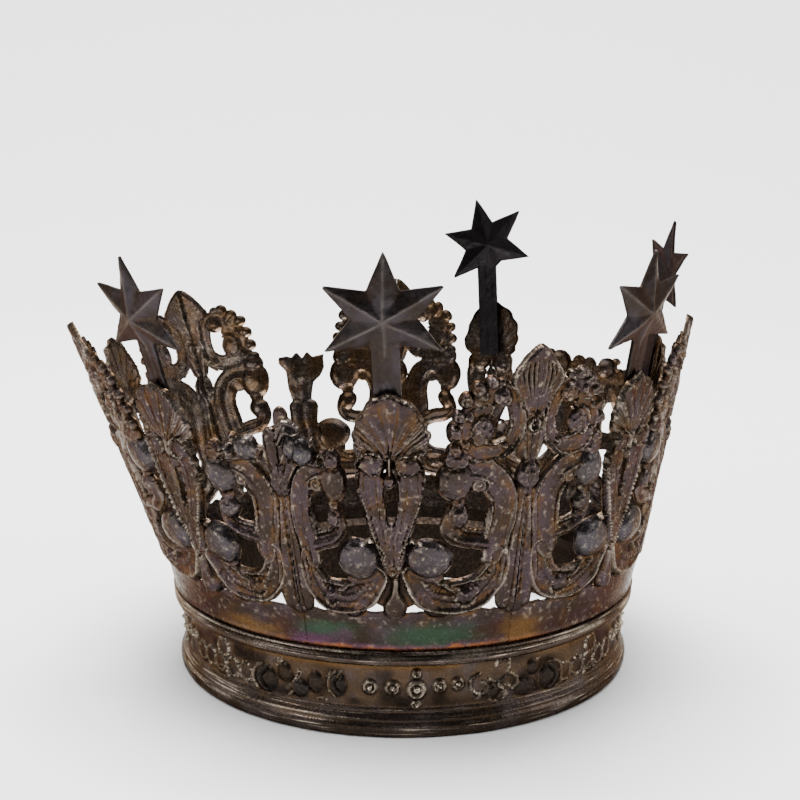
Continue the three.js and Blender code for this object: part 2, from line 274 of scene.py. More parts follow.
def rimmed(rise: float, rim: float) -> Section:
    """Returns a soft dome with a thin raised rim on both sides.

    Args:
        rise: How high the dome stands.
        rim: How high the rims stand over it.

    Returns:
        The cross-section.
    """
    return lambda u, s: rise * (0.55 + 0.45 * (1 - u * u)) + rim * bump(np.abs(u), 0.92, 0.07)


def pebbled(section: Section) -> Section:
    """Works fine pebbles into a cross-section.

    Args:
        section: The cross-section without them.

    Returns:
        The cross-section with them.
    """
    return lambda u, s: section(u, s) + 0.11 * (stipple(s, 4 * u, 0.9, 91) + 0.8 * stipple(s, 5 * u, 2.3, 92))


# How far outside a sheet an untouched point is, and how far outside the relief still counts, in mm
OUTSIDE, SHOWN_TO = -9.0, -0.8
# How wide a sheet's relief is blurred to find its edges and its hollows, in square mm
EDGE_BLUR, HOLLOW_BLUR = 0.5, 5.0


@dataclass
class Sheet:
    """Relief and outline of a worked sheet, at the points of a grid.

    Attributes:
        x: The points' place across the flat drawing, in mm.
        y: Their place up it.
        ground: The height of the plain sheet over its back.
        solid: How far inside the outline each point is, negative outside.
        height: Its height over the back.
        bright: How bright it is painted, up to one: wear, and on the band's mouldings also painted
            highlights.
        blue: How much of a blue-grey dome it is, up to one.
    """

    x: Array
    y: Array
    ground: float = 1.2
    solid: Array = field(init=False)
    height: Array = field(init=False)
    bright: Array = field(init=False)
    blue: Array = field(init=False)

    def __post_init__(self) -> None:
        """Starts with no sheet at all, at the ground's height."""
        self.solid = np.full(self.x.shape, OUTSIDE)
        self.height = np.full(self.x.shape, self.ground)
        self.bright = np.zeros(self.x.shape)
        self.blue = np.zeros(self.x.shape)

    def wear(self, cell: float) -> Array:
        """Finds the worn edges, the recesses, which get dark tarnish and painted shade, and the blue domes.

        Args:
            cell: The distance between two points of the grid, in mm.

        Returns:
            An array with one more axis, for brightness, recess and blueness.
        """
        shown = np.where(self.solid > SHOWN_TO, self.height, self.ground)
        close = blurred(shown, max(1, round(EDGE_BLUR / cell ** 2)))
        wide = blurred(shown, max(2, round(HOLLOW_BLUR / cell ** 2)))
        rubbed = np.where(self.solid < 0.8, 0.4, 1.0)
        edge = np.clip((shown - close) * 1.5 - 0.12, 0, 0.6) * rubbed
        hollow = np.clip((wide - shown) * 0.9 + (close - shown) * 1.8, 0, 1)
        bright = np.clip(edge + self.bright, 0, 1)
        return np.stack([bright, hollow, self.blue], axis=-1)


class Pen:
    """Works forms into a sheet, in coordinates of their own."""

    def __init__(self, sheet: Sheet, x: Array, y: Array, where: Array) -> None:
        """Takes hold of a sheet.

        Args:
            sheet: The sheet that is worked.
            x: Each grid point's place across the pen's own drawing.
            y: Its place up that drawing.
            where: The grid points that the pen may touch.
        """
        self.sheet, self.x, self.y, self.where = sheet, x, y, where

    def near(self, low: Sequence[float], high: Sequence[float],
             margin: float = 1.2) -> tuple[Array, Array, Array]:
        """Finds the points in a box.

        Args:
            low: The box's lower left corner.
            high: Its upper right one.
            margin: How far round it points count too.

        Returns:
            Their indices, and their places across and up the drawing.
        """
        inside = self.where & (self.x > low[0] - margin) & (self.x < high[0] + margin)
        inside &= (self.y > low[1] - margin) & (self.y < high[1] + margin)
        index = np.flatnonzero(inside)
        return index, self.x.reshape(-1)[index], self.y.reshape(-1)[index]

    def about(self, x: float, y: float, reach: float,
              margin: float = 1.2) -> tuple[Array, Array, Array]:
        """Finds the points about a place.

        Args:
            x: The place across the drawing.
            y: The place up it.
            reach: How far to each side points count.
            margin: How far beyond that they count too.

        Returns:
            Their indices, and how far across and up they are from the place.
        """
        index, px, py = self.near((x - reach, y - reach), (x + reach, y + reach), margin)
        return index, px - x, py - y

    def lay(self, index: Array, inside: Array, relief: Array,
            bright: Array | float = 0.0, blue: float = 0.0, over: bool = False,
            soft: float = 0.7) -> None:
        """Adds a form to the sheet.

        Args:
            index: The points that it may touch.
            inside: How far each is inside the form, in mm.
            relief: Its height over the ground.
            bright: How worn bright it is, from 0 to 1.
            blue: How much of a blue-grey dome it is.
            over: Whether it replaces what is higher than itself.
            soft: The distance over which it comes up from the ground.
        """
        sheet = self.sheet
        flat = sheet.solid.reshape(-1)
        flat[index] = np.maximum(flat[index], inside)
        lift = np.sqrt(np.clip(inside / soft, 0, 1))
        value = sheet.ground + relief * lift
        height = sheet.height.reshape(-1)
        take = (inside > 0) & ((value >= height[index]) | over)
        chosen = index[take]
        height[chosen] = value[take]
        for name, amount in (("bright", bright), ("blue", blue)):
            channel = getattr(sheet, name).reshape(-1)
            channel[chosen] = np.broadcast_to(amount, inside.shape)[take]

    def strap(self, line: Points, widths: Sequence[float], section: Section,
              rims: tuple[float, float] = (0.0, 0.0), blue: float = 0.0) -> None:
        """Lays a strap along a curve.

        Args:
            line: Points that the curve passes through.
            widths: Its widths, evenly spread along it.
            section: The height across it.
            rims: How bright its left-hand and right-hand rims are.
            blue: How much of a blue-grey dome it is.
        """
        curve = spline(line)
        half = np.interp(np.linspace(0, 1, len(curve)), np.linspace(0, 1, len(widths)), widths) / 2
        reach = half.max()
        index, px, py = self.near(curve.min(axis=0) - reach, curve.max(axis=0) + reach)
        best = np.full(px.shape, FAR)
        half_here, along, side = np.ones(px.shape), np.zeros(px.shape), np.ones(px.shape)
        start = 0.0
        for k, length, share, away, turn in stretches(curve, px, py):
            width = half[k] + (half[k + 1] - half[k]) * share
            outside = away - width
            closer = outside < best
            best = np.where(closer, outside, best)
            half_here = np.where(closer, width, half_here)
            along = np.where(closer, start + share * length, along)
            side = np.where(closer, np.sign(turn), side)
            start += length
        u = np.clip(side * (best + half_here) / half_here, -1, 1)
        bright = rims[0] * smooth(-u, 0.62, 0.86) + rims[1] * smooth(u, 0.62, 0.86)
        self.lay(index, -best, section(u, along), bright, blue)

    def leaf(self, x: float, stations: Points, section: Section, rims: float = 0.0) -> None:
        """Lays an upright leaf.

        Args:
            x: Its middle line's place across the drawing.
            stations: Heights up the drawing, each with the leaf's half-width there.
            section: The height across it.
            rims: How bright its rims are.
        """
        curve = spline(stations, 6)
        foot, top, reach = curve[0, 0], curve[-1, 0], curve[:, 1].max()
        index, px, py = self.near((x - reach, foot), (x + reach, top))
        half = np.maximum(np.interp(py, curve[:, 0], curve[:, 1]), 0.05)
        inside = np.minimum((half - np.abs(px - x)) * 0.8, np.minimum(py - foot, top - py))
        u = np.clip((px - x) / half, -1, 1)
        self.lay(index, inside, section(u, py), rims * smooth(np.abs(u), 0.8, 0.95))

    def boss(self, x: float, y: float, wide: float, high: float, rise: float,
             blue: float = 0.0, grain: float = 0.0, turned: float = 0.0) -> None:
        """Raises a round or oval boss.

        Args:
            x: Its middle across the drawing.
            y: Its middle up it.
            wide: Half its width.
            high: Half its height.
            rise: How high it stands.
            blue: How much of a blue-grey dome it is.
            grain: How deep its stippling is, in mm.
            turned: How far it is turned, in radians.
        """
        index, dx, dy = self.about(x, y, max(wide, high))
        cosine, sine = math.cos(turned), math.sin(turned)
        share = np.hypot((dx * cosine + dy * sine) / wide, (dy * cosine - dx * sine) / high)
        relief = rise * np.clip(1 - share ** 2.4, 0, 1) ** 0.62
        if grain:
            relief = relief + grain * stipple(dx, dy, 0.75, 5) * smooth(1 - share, 0, 0.2)
        self.lay(index, (1 - share) * min(wide, high), relief, 0.0, blue, soft=0.4)

    def rings(self, x: float, y: float, radius: float, rise: float, pitch: float) -> None:
        """Raises a rosette of rings inside each other.

        Args:
            x: Its middle across the drawing.
            y: Its middle up it.
            radius: Its outer radius.
            rise: How high the rings stand.
            pitch: The distance from ring to ring.
        """
        index, dx, dy = self.about(x, y, radius)
        away = np.hypot(dx, dy)
        wave = 0.5 + 0.5 * np.cos(TURN * away / pitch)
        self.lay(index, radius - away, rise * (0.35 + 0.65 * wave), 0.35 * wave, over=True)

    def fan(self, x: float, y: float, reach: Sequence[float], spread: float, ribs: int, rise: float,
            seed: int) -> None:
        """Raises a ribbed shell that opens upwards.

        Args:
            x: The pole of its ribs across the drawing.
            y: The pole up it.
            reach: Its length from the top to its lowest side, the same on both sides.
            spread: The angle from its top to its lowest side, in radians.
            ribs: The number of ribs.
            rise: How high it stands.
            seed: Picks the raggedness of its edge.
        """
        index, dx, dy = self.about(x, y, max(reach))
        away, angle = np.hypot(dx, dy), np.arctan2(dx, dy)
        share = np.abs(angle) / spread
        limit = np.interp(share, np.linspace(0, 1, len(reach)), reach)
        lobes = 0.5 + 0.5 * np.cos(angle / spread * math.pi * ribs)
        ragged = 0.35
        limit = limit - ragged * (1 - lobes) * 1.6 + ragged * value_noise(angle * 9, away * 0.2, 1.0, seed)
        past = np.clip((share - 1) * spread * away, 0, None)
        inside = np.minimum(limit - away, 1 - 4 * past)
        place = np.clip(away / limit, 0, 1)
        side = smooth(share, 0.28, 0.5)
        fine = np.cos(angle / spread * math.pi * (26 + 6 * side)) * smooth(place, 0.25, 0.6)
        hollow = np.sin(math.pi * np.clip(place * 0.82 + 0.12, 0, 1)) ** 0.7
        crease = np.exp(-((1 - lobes) / 0.45 - 2.2) ** 2)
        ribbed = 0.4 * hollow * (0.68 + 0.32 * lobes) + fine * (0.05 + 0.04 * side)
        relief = rise * (0.5 + ribbed - 0.1 * crease)
        bright = 0.5 * smooth(-(limit - away), -0.6, -0.15) + 0.12 * side * (fine > 0.4)
        self.lay(index, inside, relief, bright)

    def beads(self, line: Points, radius: float, count: int, rise: float, bright: float) -> None:
        """Sets a row of small beads along a curve.

        Args:
            line: Points that the curve passes through.
            radius: The beads' radius.
            count: How many there are.
            rise: How high they stand.
            bright: How worn bright they are.
        """
        curve = spline(line)
        for place in np.linspace(0, len(curve) - 1, count):
            index, dx, dy = self.about(*curve[int(round(place))], radius, 0.1)
            away = np.hypot(dx, dy) / radius
            base = self.sheet.height.reshape(-1)[index] - self.sheet.ground
            dome = np.sqrt(np.clip(1 - away ** 2, 0, 1))
            self.lay(index, (1 - away) * radius, base + rise * dome, bright, over=True, soft=0.01)

    def groove(self, line: Points, width: float, depth: float) -> None:
        """Cuts a fine line into what is there.

        Args:
            line: Points that the line passes through.
            width: Its width.
            depth: Its depth.
        """
        curve = spline(line, 6)
        index, px, py = self.near(curve.min(axis=0) - width, curve.max(axis=0) + width)
        nearest = np.full(px.shape, FAR)
        for _, _, _, away, _ in stretches(curve, px, py):
            nearest = np.minimum(nearest, away)
        self.sheet.height.reshape(-1)[index] -= depth * bump(nearest, 0.0, width / 2)


# From grids to meshes

CELL_POLYGONS: dict[int, tuple[str, ...]] = {
    1: ("aeh",), 2: ("bfe",), 3: ("abfh",), 4: ("cgf",), 5: ("aeh", "cgf"), 6: ("bcge",),
    7: ("abcgh",), 8: ("dhg",), 9: ("aegd",), 10: ("bfe", "dhg"), 11: ("abfgd",), 12: ("cdhf",),
    13: ("aefcd",), 14: ("bcdhe",), 15: ("abcd",),
}
CELL_RIMS: dict[int, tuple[str, ...]] = {
    1: ("eh",), 2: ("fe",), 3: ("fh",), 4: ("gf",), 5: ("eh", "gf"), 6: ("ge",), 7: ("gh",),
    8: ("hg",), 9: ("eg",), 10: ("fe", "hg"), 11: ("fg",), 12: ("hf",), 13: ("ef",), 14: ("he",),
}


# How close to a grid point an outline may cross, as a share of a cell
LEAST_SHARE = 0.06


@dataclass
class Cutout:
    """The part of a grid that lies inside an outline, as polygons.

    Attributes:
        source: For each vertex, the two grid points that it lies between.
        share: How far it is on the way from the first to the second.
        faces: Arrays of vertex numbers, one array for each number of corners.
        rim: Pairs of vertices along the outline.
    """

    source: Array
    share: Array
    faces: list[Array]
    rim: Array

    @classmethod
    def of(cls, solid: Array) -> "Cutout":
        """Cuts a grid along its outline.

        Args:
            solid: How far each grid point is inside, negative outside.

        Returns:
            The cut grid.
        """
        rows, columns = solid.shape
        number = np.arange(rows * columns).reshape(rows, columns)
        inside = solid > 0
        source, share = [np.stack([number[inside]] * 2, axis=1)], [np.zeros(inside.sum())]
        node = np.full(solid.shape, -1)
        node[inside] = np.arange(inside.sum())
        count = int(inside.sum())
        ids = []
        for low, high in ((np.s_[:, :-1], np.s_[:, 1:]), (np.s_[:-1, :], np.s_[1:, :])):
            crossed = inside[low] != inside[high]
            ident = np.full(crossed.shape, -1)
            ident[crossed] = count + np.arange(crossed.sum())
            count += int(crossed.sum())
            first, second = solid[low][crossed], solid[high][crossed]
            source.append(np.stack([number[low][crossed], number[high][crossed]], axis=1))
            share.append(np.clip(first / (first - second), LEAST_SHARE, 1 - LEAST_SHARE))
            ids.append(ident)
        across, up = ids
        corner = {
            "a": node[:-1, :-1], "b": node[:-1, 1:], "c": node[1:, 1:], "d": node[1:, :-1],
            "e": across[:-1, :], "f": up[:, 1:], "g": across[1:, :], "h": up[:, :-1],
        }
        case = (inside[:-1, :-1] * 1 + inside[:-1, 1:] * 2 + inside[1:, 1:] * 4 + inside[1:, :-1] * 8)
        faces: dict[int, list[Array]] = {3: [], 4: [], 5: []}
        rim = []
        for kind, polygons in CELL_POLYGONS.items():
            here = case == kind
            for polygon in polygons:
                faces[len(polygon)].append(np.stack([corner[letter][here] for letter in polygon], axis=1))
            for pair in CELL_RIMS.get(kind, ()):
                rim.append(np.stack([corner[letter][here] for letter in pair], axis=1))
        joined = [np.vstack(group) for group in faces.values()]
        return cls(np.vstack(source), np.concatenate(share), joined, np.vstack(rim)).largest()

    def largest(self) -> "Cutout":
        """Drops loose bits.

        Returns:
            The cut grid's largest connected part.
        """
        edges = [np.stack([group, np.roll(group, 1, axis=1)], axis=-1).reshape(-1, 2) for group in self.faces]
        ends = np.vstack(edges)
        part = np.arange(len(self.share))
        while True:
            least = np.minimum(part[ends[:, 0]], part[ends[:, 1]])
            after = part.copy()
            np.minimum.at(after, ends[:, 0], least)
            np.minimum.at(after, ends[:, 1], least)
            after = after[after]
            if (after == part).all():
                break
            part = after
        kept = part == np.bincount(part).argmax()
        number = np.cumsum(kept) - 1
        faces = [number[group[kept[group[:, 0]]]] for group in self.faces]
        return Cutout(self.source[kept], self.share[kept], faces, number[self.rim[kept[self.rim[:, 0]]]])

    def sampled(self, values: Array) -> Array:
        """Reads a grid's values at the cut vertices.

        Args:
            values: A value, or a row of them, for each grid point.

        Returns:
            The same for each vertex.
        """
        flat = values.reshape(-1, *values.shape[2:])
        first, second = flat[self.source[:, 0]], flat[self.source[:, 1]]
        share = self.share.reshape(-1, *([1] * (first.ndim - 1)))
        return first + (second - first) * share

    def shell(self) -> list[Array]:
        """Joins a front to a back whose vertices are numbered after it.

        Returns:
            The faces of the front, the back and the rim between them.
        """
        count = len(self.share)
        first, second = self.rim.T
        back = [group[:, ::-1] + count for group in self.faces]
        return self.faces + back + [np.stack([second, first, first + count, second + count], axis=1)]


def new_piece(name: str, points: Array, faces: list[Array], wear_and_painted_light: Array,
              patina: Array, crease: float = 48.0) -> bpy.types.Object:
    """Makes a mesh object.

    Args:
        name: The piece's name.
        points: Its corners in metres, one row each.
        faces: Arrays of corner numbers, one array for each number of corners.
        wear_and_painted_light: Brightness from wear and painted highlights, recess from tarnish and painted
            shade, and blueness at each corner.
        patina: Colour and strength of the stains at each corner.
        crease: The angle in degrees from which an edge is sharp.

    Returns:
        The object, linked to the scene.
    """
    mesh = bpy.data.meshes.new(name)
    faces = [group for group in faces if len(group)]
    corners = np.concatenate([group.reshape(-1) for group in faces])
    sizes = np.concatenate([np.full(len(group), group.shape[1]) for group in faces])
    mesh.vertices.add(len(points))
    mesh.vertices.foreach_set("co", points.astype(np.float32).reshape(-1))
    mesh.loops.add(len(corners))
    mesh.loops.foreach_set("vertex_index", corners.astype(np.int32))
    mesh.polygons.add(len(sizes))
    starts = np.concatenate([[0], np.cumsum(sizes)[:-1]])
    mesh.polygons.foreach_set("loop_start", starts.astype(np.int32))
    mesh.polygons.foreach_set("use_smooth", np.ones(len(sizes), dtype=bool))
    mesh.update(calc_edges=True)
    for label, values in (("wear_and_painted_light", wear_and_painted_light), ("patina", patina)):
        colour = np.ones((len(points), 4), dtype=np.float32)
        colour[:, :values.shape[1]] = values
        layer = mesh.color_attributes.new(label, "FLOAT_COLOR", "POINT")
        layer.data.foreach_set("color", colour.reshape(-1))
    mesh.validate()
    mesh.set_sharp_from_angle(angle=math.radians(crease))
    piece = bpy.data.objects.new(name, mesh)
    bpy.context.scene.collection.objects.link(piece)
    return piece


# The crown's own form: how the flat drawing is bent round the ring


@dataclass(frozen=True)
class Arc:
    """One sheet's middle, in radians from the front to the right, and how far it is to its two seams."""

    middle: float
    left: float
    right: float


@dataclass(frozen=True)
class CrownForm:
    """The leaning, slightly irregular cone that the sheets are bent to. Lengths are in mm.

    Attributes:
        axis: The place of its upright axis.
        band_radius: The radius of the band's foot.
        frieze_radius: The radius of its sunk frieze.
        top_radius: The radius of its upper moulding.
        band_top: The band's height.
        wall: The thickness of the frieze.
        collar_height: The height of the plain collar under the fold.
        collar_flare: How much wider the collar is at the fold.
        fold_radius: The radius of the fold, where the sheets start to lean out.
        fold_height: The height of the fold.
        fold_reach: How far up and down it is rounded.
        sheet: The sheets' thickness.
        slant: Their length from the fold up.
        lean: How far they lean out at the front, as a share of their height.
        side_lean: How much more they lean out at the sides.
        skew_lean: How much more at the left and less at the right.
        rim_shift: How far the rim is moved to the left at the sides.
        front_shift: The share of that shift at the front.
        rim_tilt: How much longer they are at the front and shorter at the back.
        drawn_lean: The lean of the flat drawing's own cone.
        drawn_height: The drawing's height from the fold up.
        drawn_fold: The radius of the drawing's fold.
        unbent: The angle beside a sheet's middle that keeps its width, in radians.
        middles: The sheets' middles, in degrees from the front to the right.
        seams: The seam to the right of each, in degrees.
    """

    axis: tuple[float, float]
    band_radius: float = 75.0
    frieze_radius: float = 72.8
    top_radius: float = 76.6
    band_top: float = 27.6
    wall: float = 1.2
    collar_height: float = 8.0
    collar_flare: float = 1.8
    fold_radius: float = 78.0
    fold_height: float = 35.9
    fold_reach: float = 1.2
    sheet: float = 1.2
    slant: float = 82.7
    lean: float = 0.2276
    side_lean: float = 0.0327
    skew_lean: float = 0.047
    rim_shift: float = 4.0
    front_shift: float = 0.25
    rim_tilt: float = 0.027
    drawn_lean: float = 0.28
    drawn_height: float = 87.4
    drawn_fold: float = 78.0
    unbent: float = 0.13
    middles: tuple[float, ...] = (-2.1, 48.8, 101.5, 156.2, 206.0, 259.0, 314.5)
    seams: tuple[float, ...] = (23.3, 75.5, 128.5, 180.5, 232.5, 285.5, 338.2)

    @property
    def sine(self) -> float:
        """Returns the sine of the drawing's own lean."""
        return math.sin(math.atan(self.drawn_lean))

    @property
    def apex(self) -> float:
        """Returns how far below the fold the drawing's cone comes to a point."""
        return self.drawn_fold / self.sine

    @property
    def half_pitch(self) -> float:
        """Returns half an even share of the ring."""
        return math.pi / len(self.middles)

    @property
    def half_turn(self) -> float:
        """Returns the angle of half a sheet in the flat drawing."""
        return self.half_pitch * self.sine

    def arc(self, index: int) -> Arc:
        """Finds a sheet's place round the ring.

        Args:
            index: The sheet's number.

        Returns:
            Its place.
        """
        middle = math.radians(self.middles[index])
        left = (middle - math.radians(self.seams[index - 1])) % TURN
        return Arc(middle, left, math.radians(self.seams[index]) - middle)

    def azimuth(self, nominal: Array, arc: Arc) -> Array:
        """Stretches the outer parts of a sheet's halves to its seams.

        Args:
            nominal: Angles round an evenly divided ring, from the sheet's middle.
            arc: The sheet's place.

        Returns:
            Angles round the real ring.
        """
        half = np.where(nominal < 0, arc.left, arc.right)
        past = np.clip(np.abs(nominal) - self.unbent, 0, None)
        stretch = (half - self.unbent) / (self.half_pitch - self.unbent)
        return arc.middle + np.sign(nominal) * (np.minimum(np.abs(nominal), self.unbent) + past * stretch)

    def on_crown(self, azimuth: Array, slant: Array, depth: Array) -> Array:
        """Puts points on the crown.

        Args:
            azimuth: Their angle round the ring.
            slant: Their height up the slope over the collar's fold.
            depth: Their height over the sheet's back.

        Returns:
            Points in metres, one row each.
        """
        azimuth, slant, depth = np.broadcast_arrays(azimuth, slant, depth)
        above, below = np.maximum(slant, 0), np.minimum(slant, 0)
        sine = np.sin(azimuth)
        leaning = np.arctan(self.lean + self.side_lean * sine ** 2 - self.skew_lean * sine)
        collar = math.atan(self.collar_flare / self.collar_height)
        blend = smooth(slant, -self.fold_reach, self.fold_reach)
        slope = collar + (leaning - collar) * blend
        out = depth - self.sheet
        radius = (self.fold_radius + above * np.sin(leaning)
                  + below * self.collar_flare / self.collar_height + out * np.cos(slope))
        height = self.fold_height + above * np.cos(leaning) + below - blend * out * np.sin(slope)
        shift = self.rim_shift * (self.front_shift + (1 - self.front_shift) * sine ** 2) * above / self.slant
        x = radius * sine - shift + self.axis[0]
        y = -radius * np.cos(azimuth) + self.axis[1]
        return np.stack([x, y, height], axis=-1) * MM

    def bend(self, x: Array, y: Array, depth: Array, arc: Arc) -> Array:
        """Bends points of the flat drawing to the crown.

        Args:
            x: Their place across the drawing.
            y: Their place up it.
            depth: Their height over the sheet's back.
            arc: The sheet's place.

        Returns:
            Points in metres, one row each.
        """
        drawn = np.hypot(x, y + self.apex)
        azimuth = self.azimuth(np.arctan2(x, y + self.apex) / self.sine, arc)
        slant = drawn - self.apex
        scale = self.slant / self.drawn_height * (1 + self.rim_tilt * np.cos(azimuth))
        return self.on_crown(azimuth, np.where(slant > 0, slant * scale, slant), depth)


# Finishes

# The sockets of Blender's colour mix
MIX_SHARE, MIX_FIRST, MIX_SECOND, MIX_RESULT = 0, 6, 7, 2
# The patterns of the tarnish, of the painted glints and of the painted highlight lines: each noise's scale,
# detail, place and how flat it is
CLOUDS, BROWN, SPECKS, GRAIN = (105.0, 5.0), (165.0, 6.0, 3.1), (900.0, 3.0, 1.7), (1400.0, 4.0, 0.6)
GLINTS, HIGHLIGHT_STREAKS = (640.0, 5.0, 2.3), (70.0, 4.0, 0.3, 34.0)


@dataclass(frozen=True)
class Silver:
    """Tarnished silver, with worn edges, brown recesses, blue-grey domes, painted shade in deep recesses,
    and, for some pieces, painted glints and level highlight lines.

    Attributes:
        name: The material's name.
        ground: The tarnish on the open surface.
        cloud: Its second colour, in soft clouds.
        brown: The deposit in shallow hollows.
        recess: The dark colour of deep ones, dark tarnish with painted shade.
        worn: The metal on the worn edges, also the colour of the painted glints and level highlight lines.
        dome: The smooth domes' colour.
        shine: The roughness of the open surface.
        highlight_streaks: How strong the painted highlights are, in long level lines.
        glints: How strong the small bright specks are: painted glints, partly polishing residue.
        metal: How metallic the tarnish is.
        tint: The colour of its reflections at a low angle.
        grain: How strong the finest unevenness is.
        grain_depth: How deep it is, in metres.
    """

    name: str
    ground: Colour = (0.021, 0.0145, 0.0115)
    cloud: Colour = (0.031, 0.0215, 0.0235)
    brown: Colour = (0.058, 0.029, 0.011)
    recess: Colour = (0.0075, 0.005, 0.0036)
    worn: Colour = (0.42, 0.35, 0.27)
    dome: Colour = (0.034, 0.032, 0.036)
    shine: float = 0.25
    highlight_streaks: float = 0.0
    glints: float = 0.0
    metal: float = 0.92
    tint: Colour = (0.45, 0.40, 0.36)
    grain: float = 0.5
    grain_depth: float = 0.0002

    def made(self) -> bpy.types.Material:
        """Builds the material's nodes.

        Returns:
            The material.
        """
        material = bpy.data.materials.new(self.name)
        material.use_nodes = True
        tree = material.node_tree
        shader = tree.nodes["Principled BSDF"]
        shader.inputs["Metallic"].default_value = self.metal
        shader.inputs["Specular Tint"].default_value = (*self.tint, 1.0)

        def noise(scale: float, detail: float, offset: float = 0.0, flat: float = 1.0) -> Socket:
            """Makes a noise pattern on the object's own coordinates.

            Args:
                scale: How fine it is.
                detail: How many finer patterns are in it.
                offset: Its place.
                flat: How many times finer it is upwards than across.

            Returns:
                The pattern's value.
            """
            place = tree.nodes.new("ShaderNodeMapping")
            place.inputs["Scale"].default_value = (1.0, 1.0, flat)
            place.inputs["Location"].default_value = (offset, offset, offset)
            tree.links.new(coordinates.outputs["Object"], place.inputs["Vector"])
            node = tree.nodes.new("ShaderNodeTexNoise")
            node.inputs["Scale"].default_value = scale
            node.inputs["Detail"].default_value = detail
            tree.links.new(place.outputs["Vector"], node.inputs["Vector"])
            return node.outputs["Fac"]

        def spread(value: Socket, low: float, high: float, first: float = 0.0, last: float = 1.0) -> Socket:
            """Turns one value into another that goes softly between two ends.

            Args:
                value: The value that steers it.
                low: Where that value starts.
                high: Where it ends.
                first: The result at the start.
                last: The result at the end.

            Returns:
                The result.
            """
            node = tree.nodes.new("ShaderNodeMapRange")
            node.interpolation_type = "SMOOTHSTEP"
            for label, number in (("From Min", low), ("From Max", high), ("To Min", first), ("To Max", last)):
                node.inputs[label].default_value = number
            tree.links.new(value, node.inputs["Value"])
            return node.outputs["Result"]

        def math_node(kind: str, first: Socket, second: Socket | float) -> Socket:
            """Does a sum with two values and keeps it from 0 to 1.

            Args:
                kind: The kind of sum.
                first: The first value.
                second: The second one.

            Returns:
                The result.
            """
            node = tree.nodes.new("ShaderNodeMath")
            node.operation = kind
            node.use_clamp = True
            tree.links.new(first, node.inputs[0])
            if isinstance(second, float):
                node.inputs[1].default_value = second
            else:
                tree.links.new(second, node.inputs[1])
            return node.outputs["Value"]

        def mixed(share: Socket, first: Socket | Colour, second: Socket | Colour) -> Socket:
            """Mixes two colours.

            Args:
                share: The share of the second colour.
                first: The first colour.
                second: The second one.

            Returns:
                The mix.
            """
            node = tree.nodes.new("ShaderNodeMix")
            node.data_type = "RGBA"
            tree.links.new(share, node.inputs[MIX_SHARE])
            for place, colour in ((MIX_FIRST, first), (MIX_SECOND, second)):
                if isinstance(colour, tuple):
                    node.inputs[place].default_value = (*colour, 1.0)
                else:
                    tree.links.new(colour, node.inputs[place])
            return node.outputs[MIX_RESULT]

        def painted(name: str) -> bpy.types.Node:
            """Returns a node that reads a colour painted on the mesh."""
            node = tree.nodes.new("ShaderNodeAttribute")
            node.attribute_name = name
            return node

        coordinates = tree.nodes.new("ShaderNodeTexCoord")
        parts = tree.nodes.new("ShaderNodeSeparateColor")
        tree.links.new(painted("wear_and_painted_light").outputs["Color"], parts.inputs["Color"])
        bright, hollow, blue = (parts.outputs[name] for name in ("Red", "Green", "Blue"))
        patina = painted("patina")

        clouds, brown, specks = noise(*CLOUDS), noise(*BROWN), noise(*SPECKS)
        colour = mixed(spread(clouds, 0.38, 0.62), self.ground, self.cloud)
        colour = mixed(spread(brown, 0.52, 0.70, 0.0, 0.45), colour, self.brown)
        colour = mixed(math_node("MULTIPLY", spread(hollow, 0.06, 0.32, 0.0, 0.75), spread(brown, 0.35, 0.6)),
                       colour, self.brown)
        # Deep recesses are darkened: dark tarnish together with painted shade.
        colour = mixed(math_node("MULTIPLY", spread(hollow, 0.22, 0.75), spread(specks, 0.2, 0.6, 0.7, 1.0)),
                       colour, self.recess)
        colour = mixed(math_node("MULTIPLY", blue, spread(clouds, 0.3, 0.6, 0.55, 1.0)), colour, self.dome)
        worn = math_node("MULTIPLY", bright, spread(specks, 0.30, 0.62, 0.55, 1.0))
        worn = math_node("MULTIPLY", worn, spread(brown, 0.35, 0.6, 1.0, 0.55))
        worn = math_node("ADD", worn, math_node("MULTIPLY", blue, spread(specks, 0.52, 0.72, 0.0, 0.15)))
        # Small bright specks on raised places: painted glints, partly polishing residue.
        if self.glints:
            glint = math_node("MULTIPLY", spread(noise(*GLINTS), 0.54, 0.80, 0.0, self.glints),
                              spread(hollow, 0.1, 0.5, 1.0, 0.0))
            worn = math_node("ADD", worn, glint)
        # Long level lines of painted highlight, kept off the hollows.
        if self.highlight_streaks:
            highlight_streak = math_node("MULTIPLY", spread(noise(*HIGHLIGHT_STREAKS), 0.56, 0.74, 0.0, self.highlight_streaks),
                               spread(hollow, 0.08, 0.28, 1.0, 0.0))
            worn = math_node("ADD", worn, highlight_streak)
        # The worn metal's colour also paints the glints and the level highlight lines.
        colour = mixed(worn, colour, self.worn)
        colour = mixed(patina.outputs["Alpha"], colour, patina.outputs["Color"])
        tree.links.new(colour, shader.inputs["Base Color"])

        rough = spread(specks, 0.25, 0.75, self.shine - 0.09, self.shine + 0.12)
        rough = math_node("ADD", rough, spread(hollow, 0.0, 1.0, 0.0, 0.2))
        rough = math_node("SUBTRACT", rough, spread(worn, 0.0, 1.0, 0.0, 0.12))
        tree.links.new(rough, shader.inputs["Roughness"])
        uneven = tree.nodes.new("ShaderNodeBump")
        uneven.inputs["Strength"].default_value = self.grain
        uneven.inputs["Distance"].default_value = self.grain_depth
        tree.links.new(noise(*GRAIN), uneven.inputs["Height"])
        tree.links.new(uneven.outputs["Normal"], shader.inputs["Normal"])
        return material


# The pieces

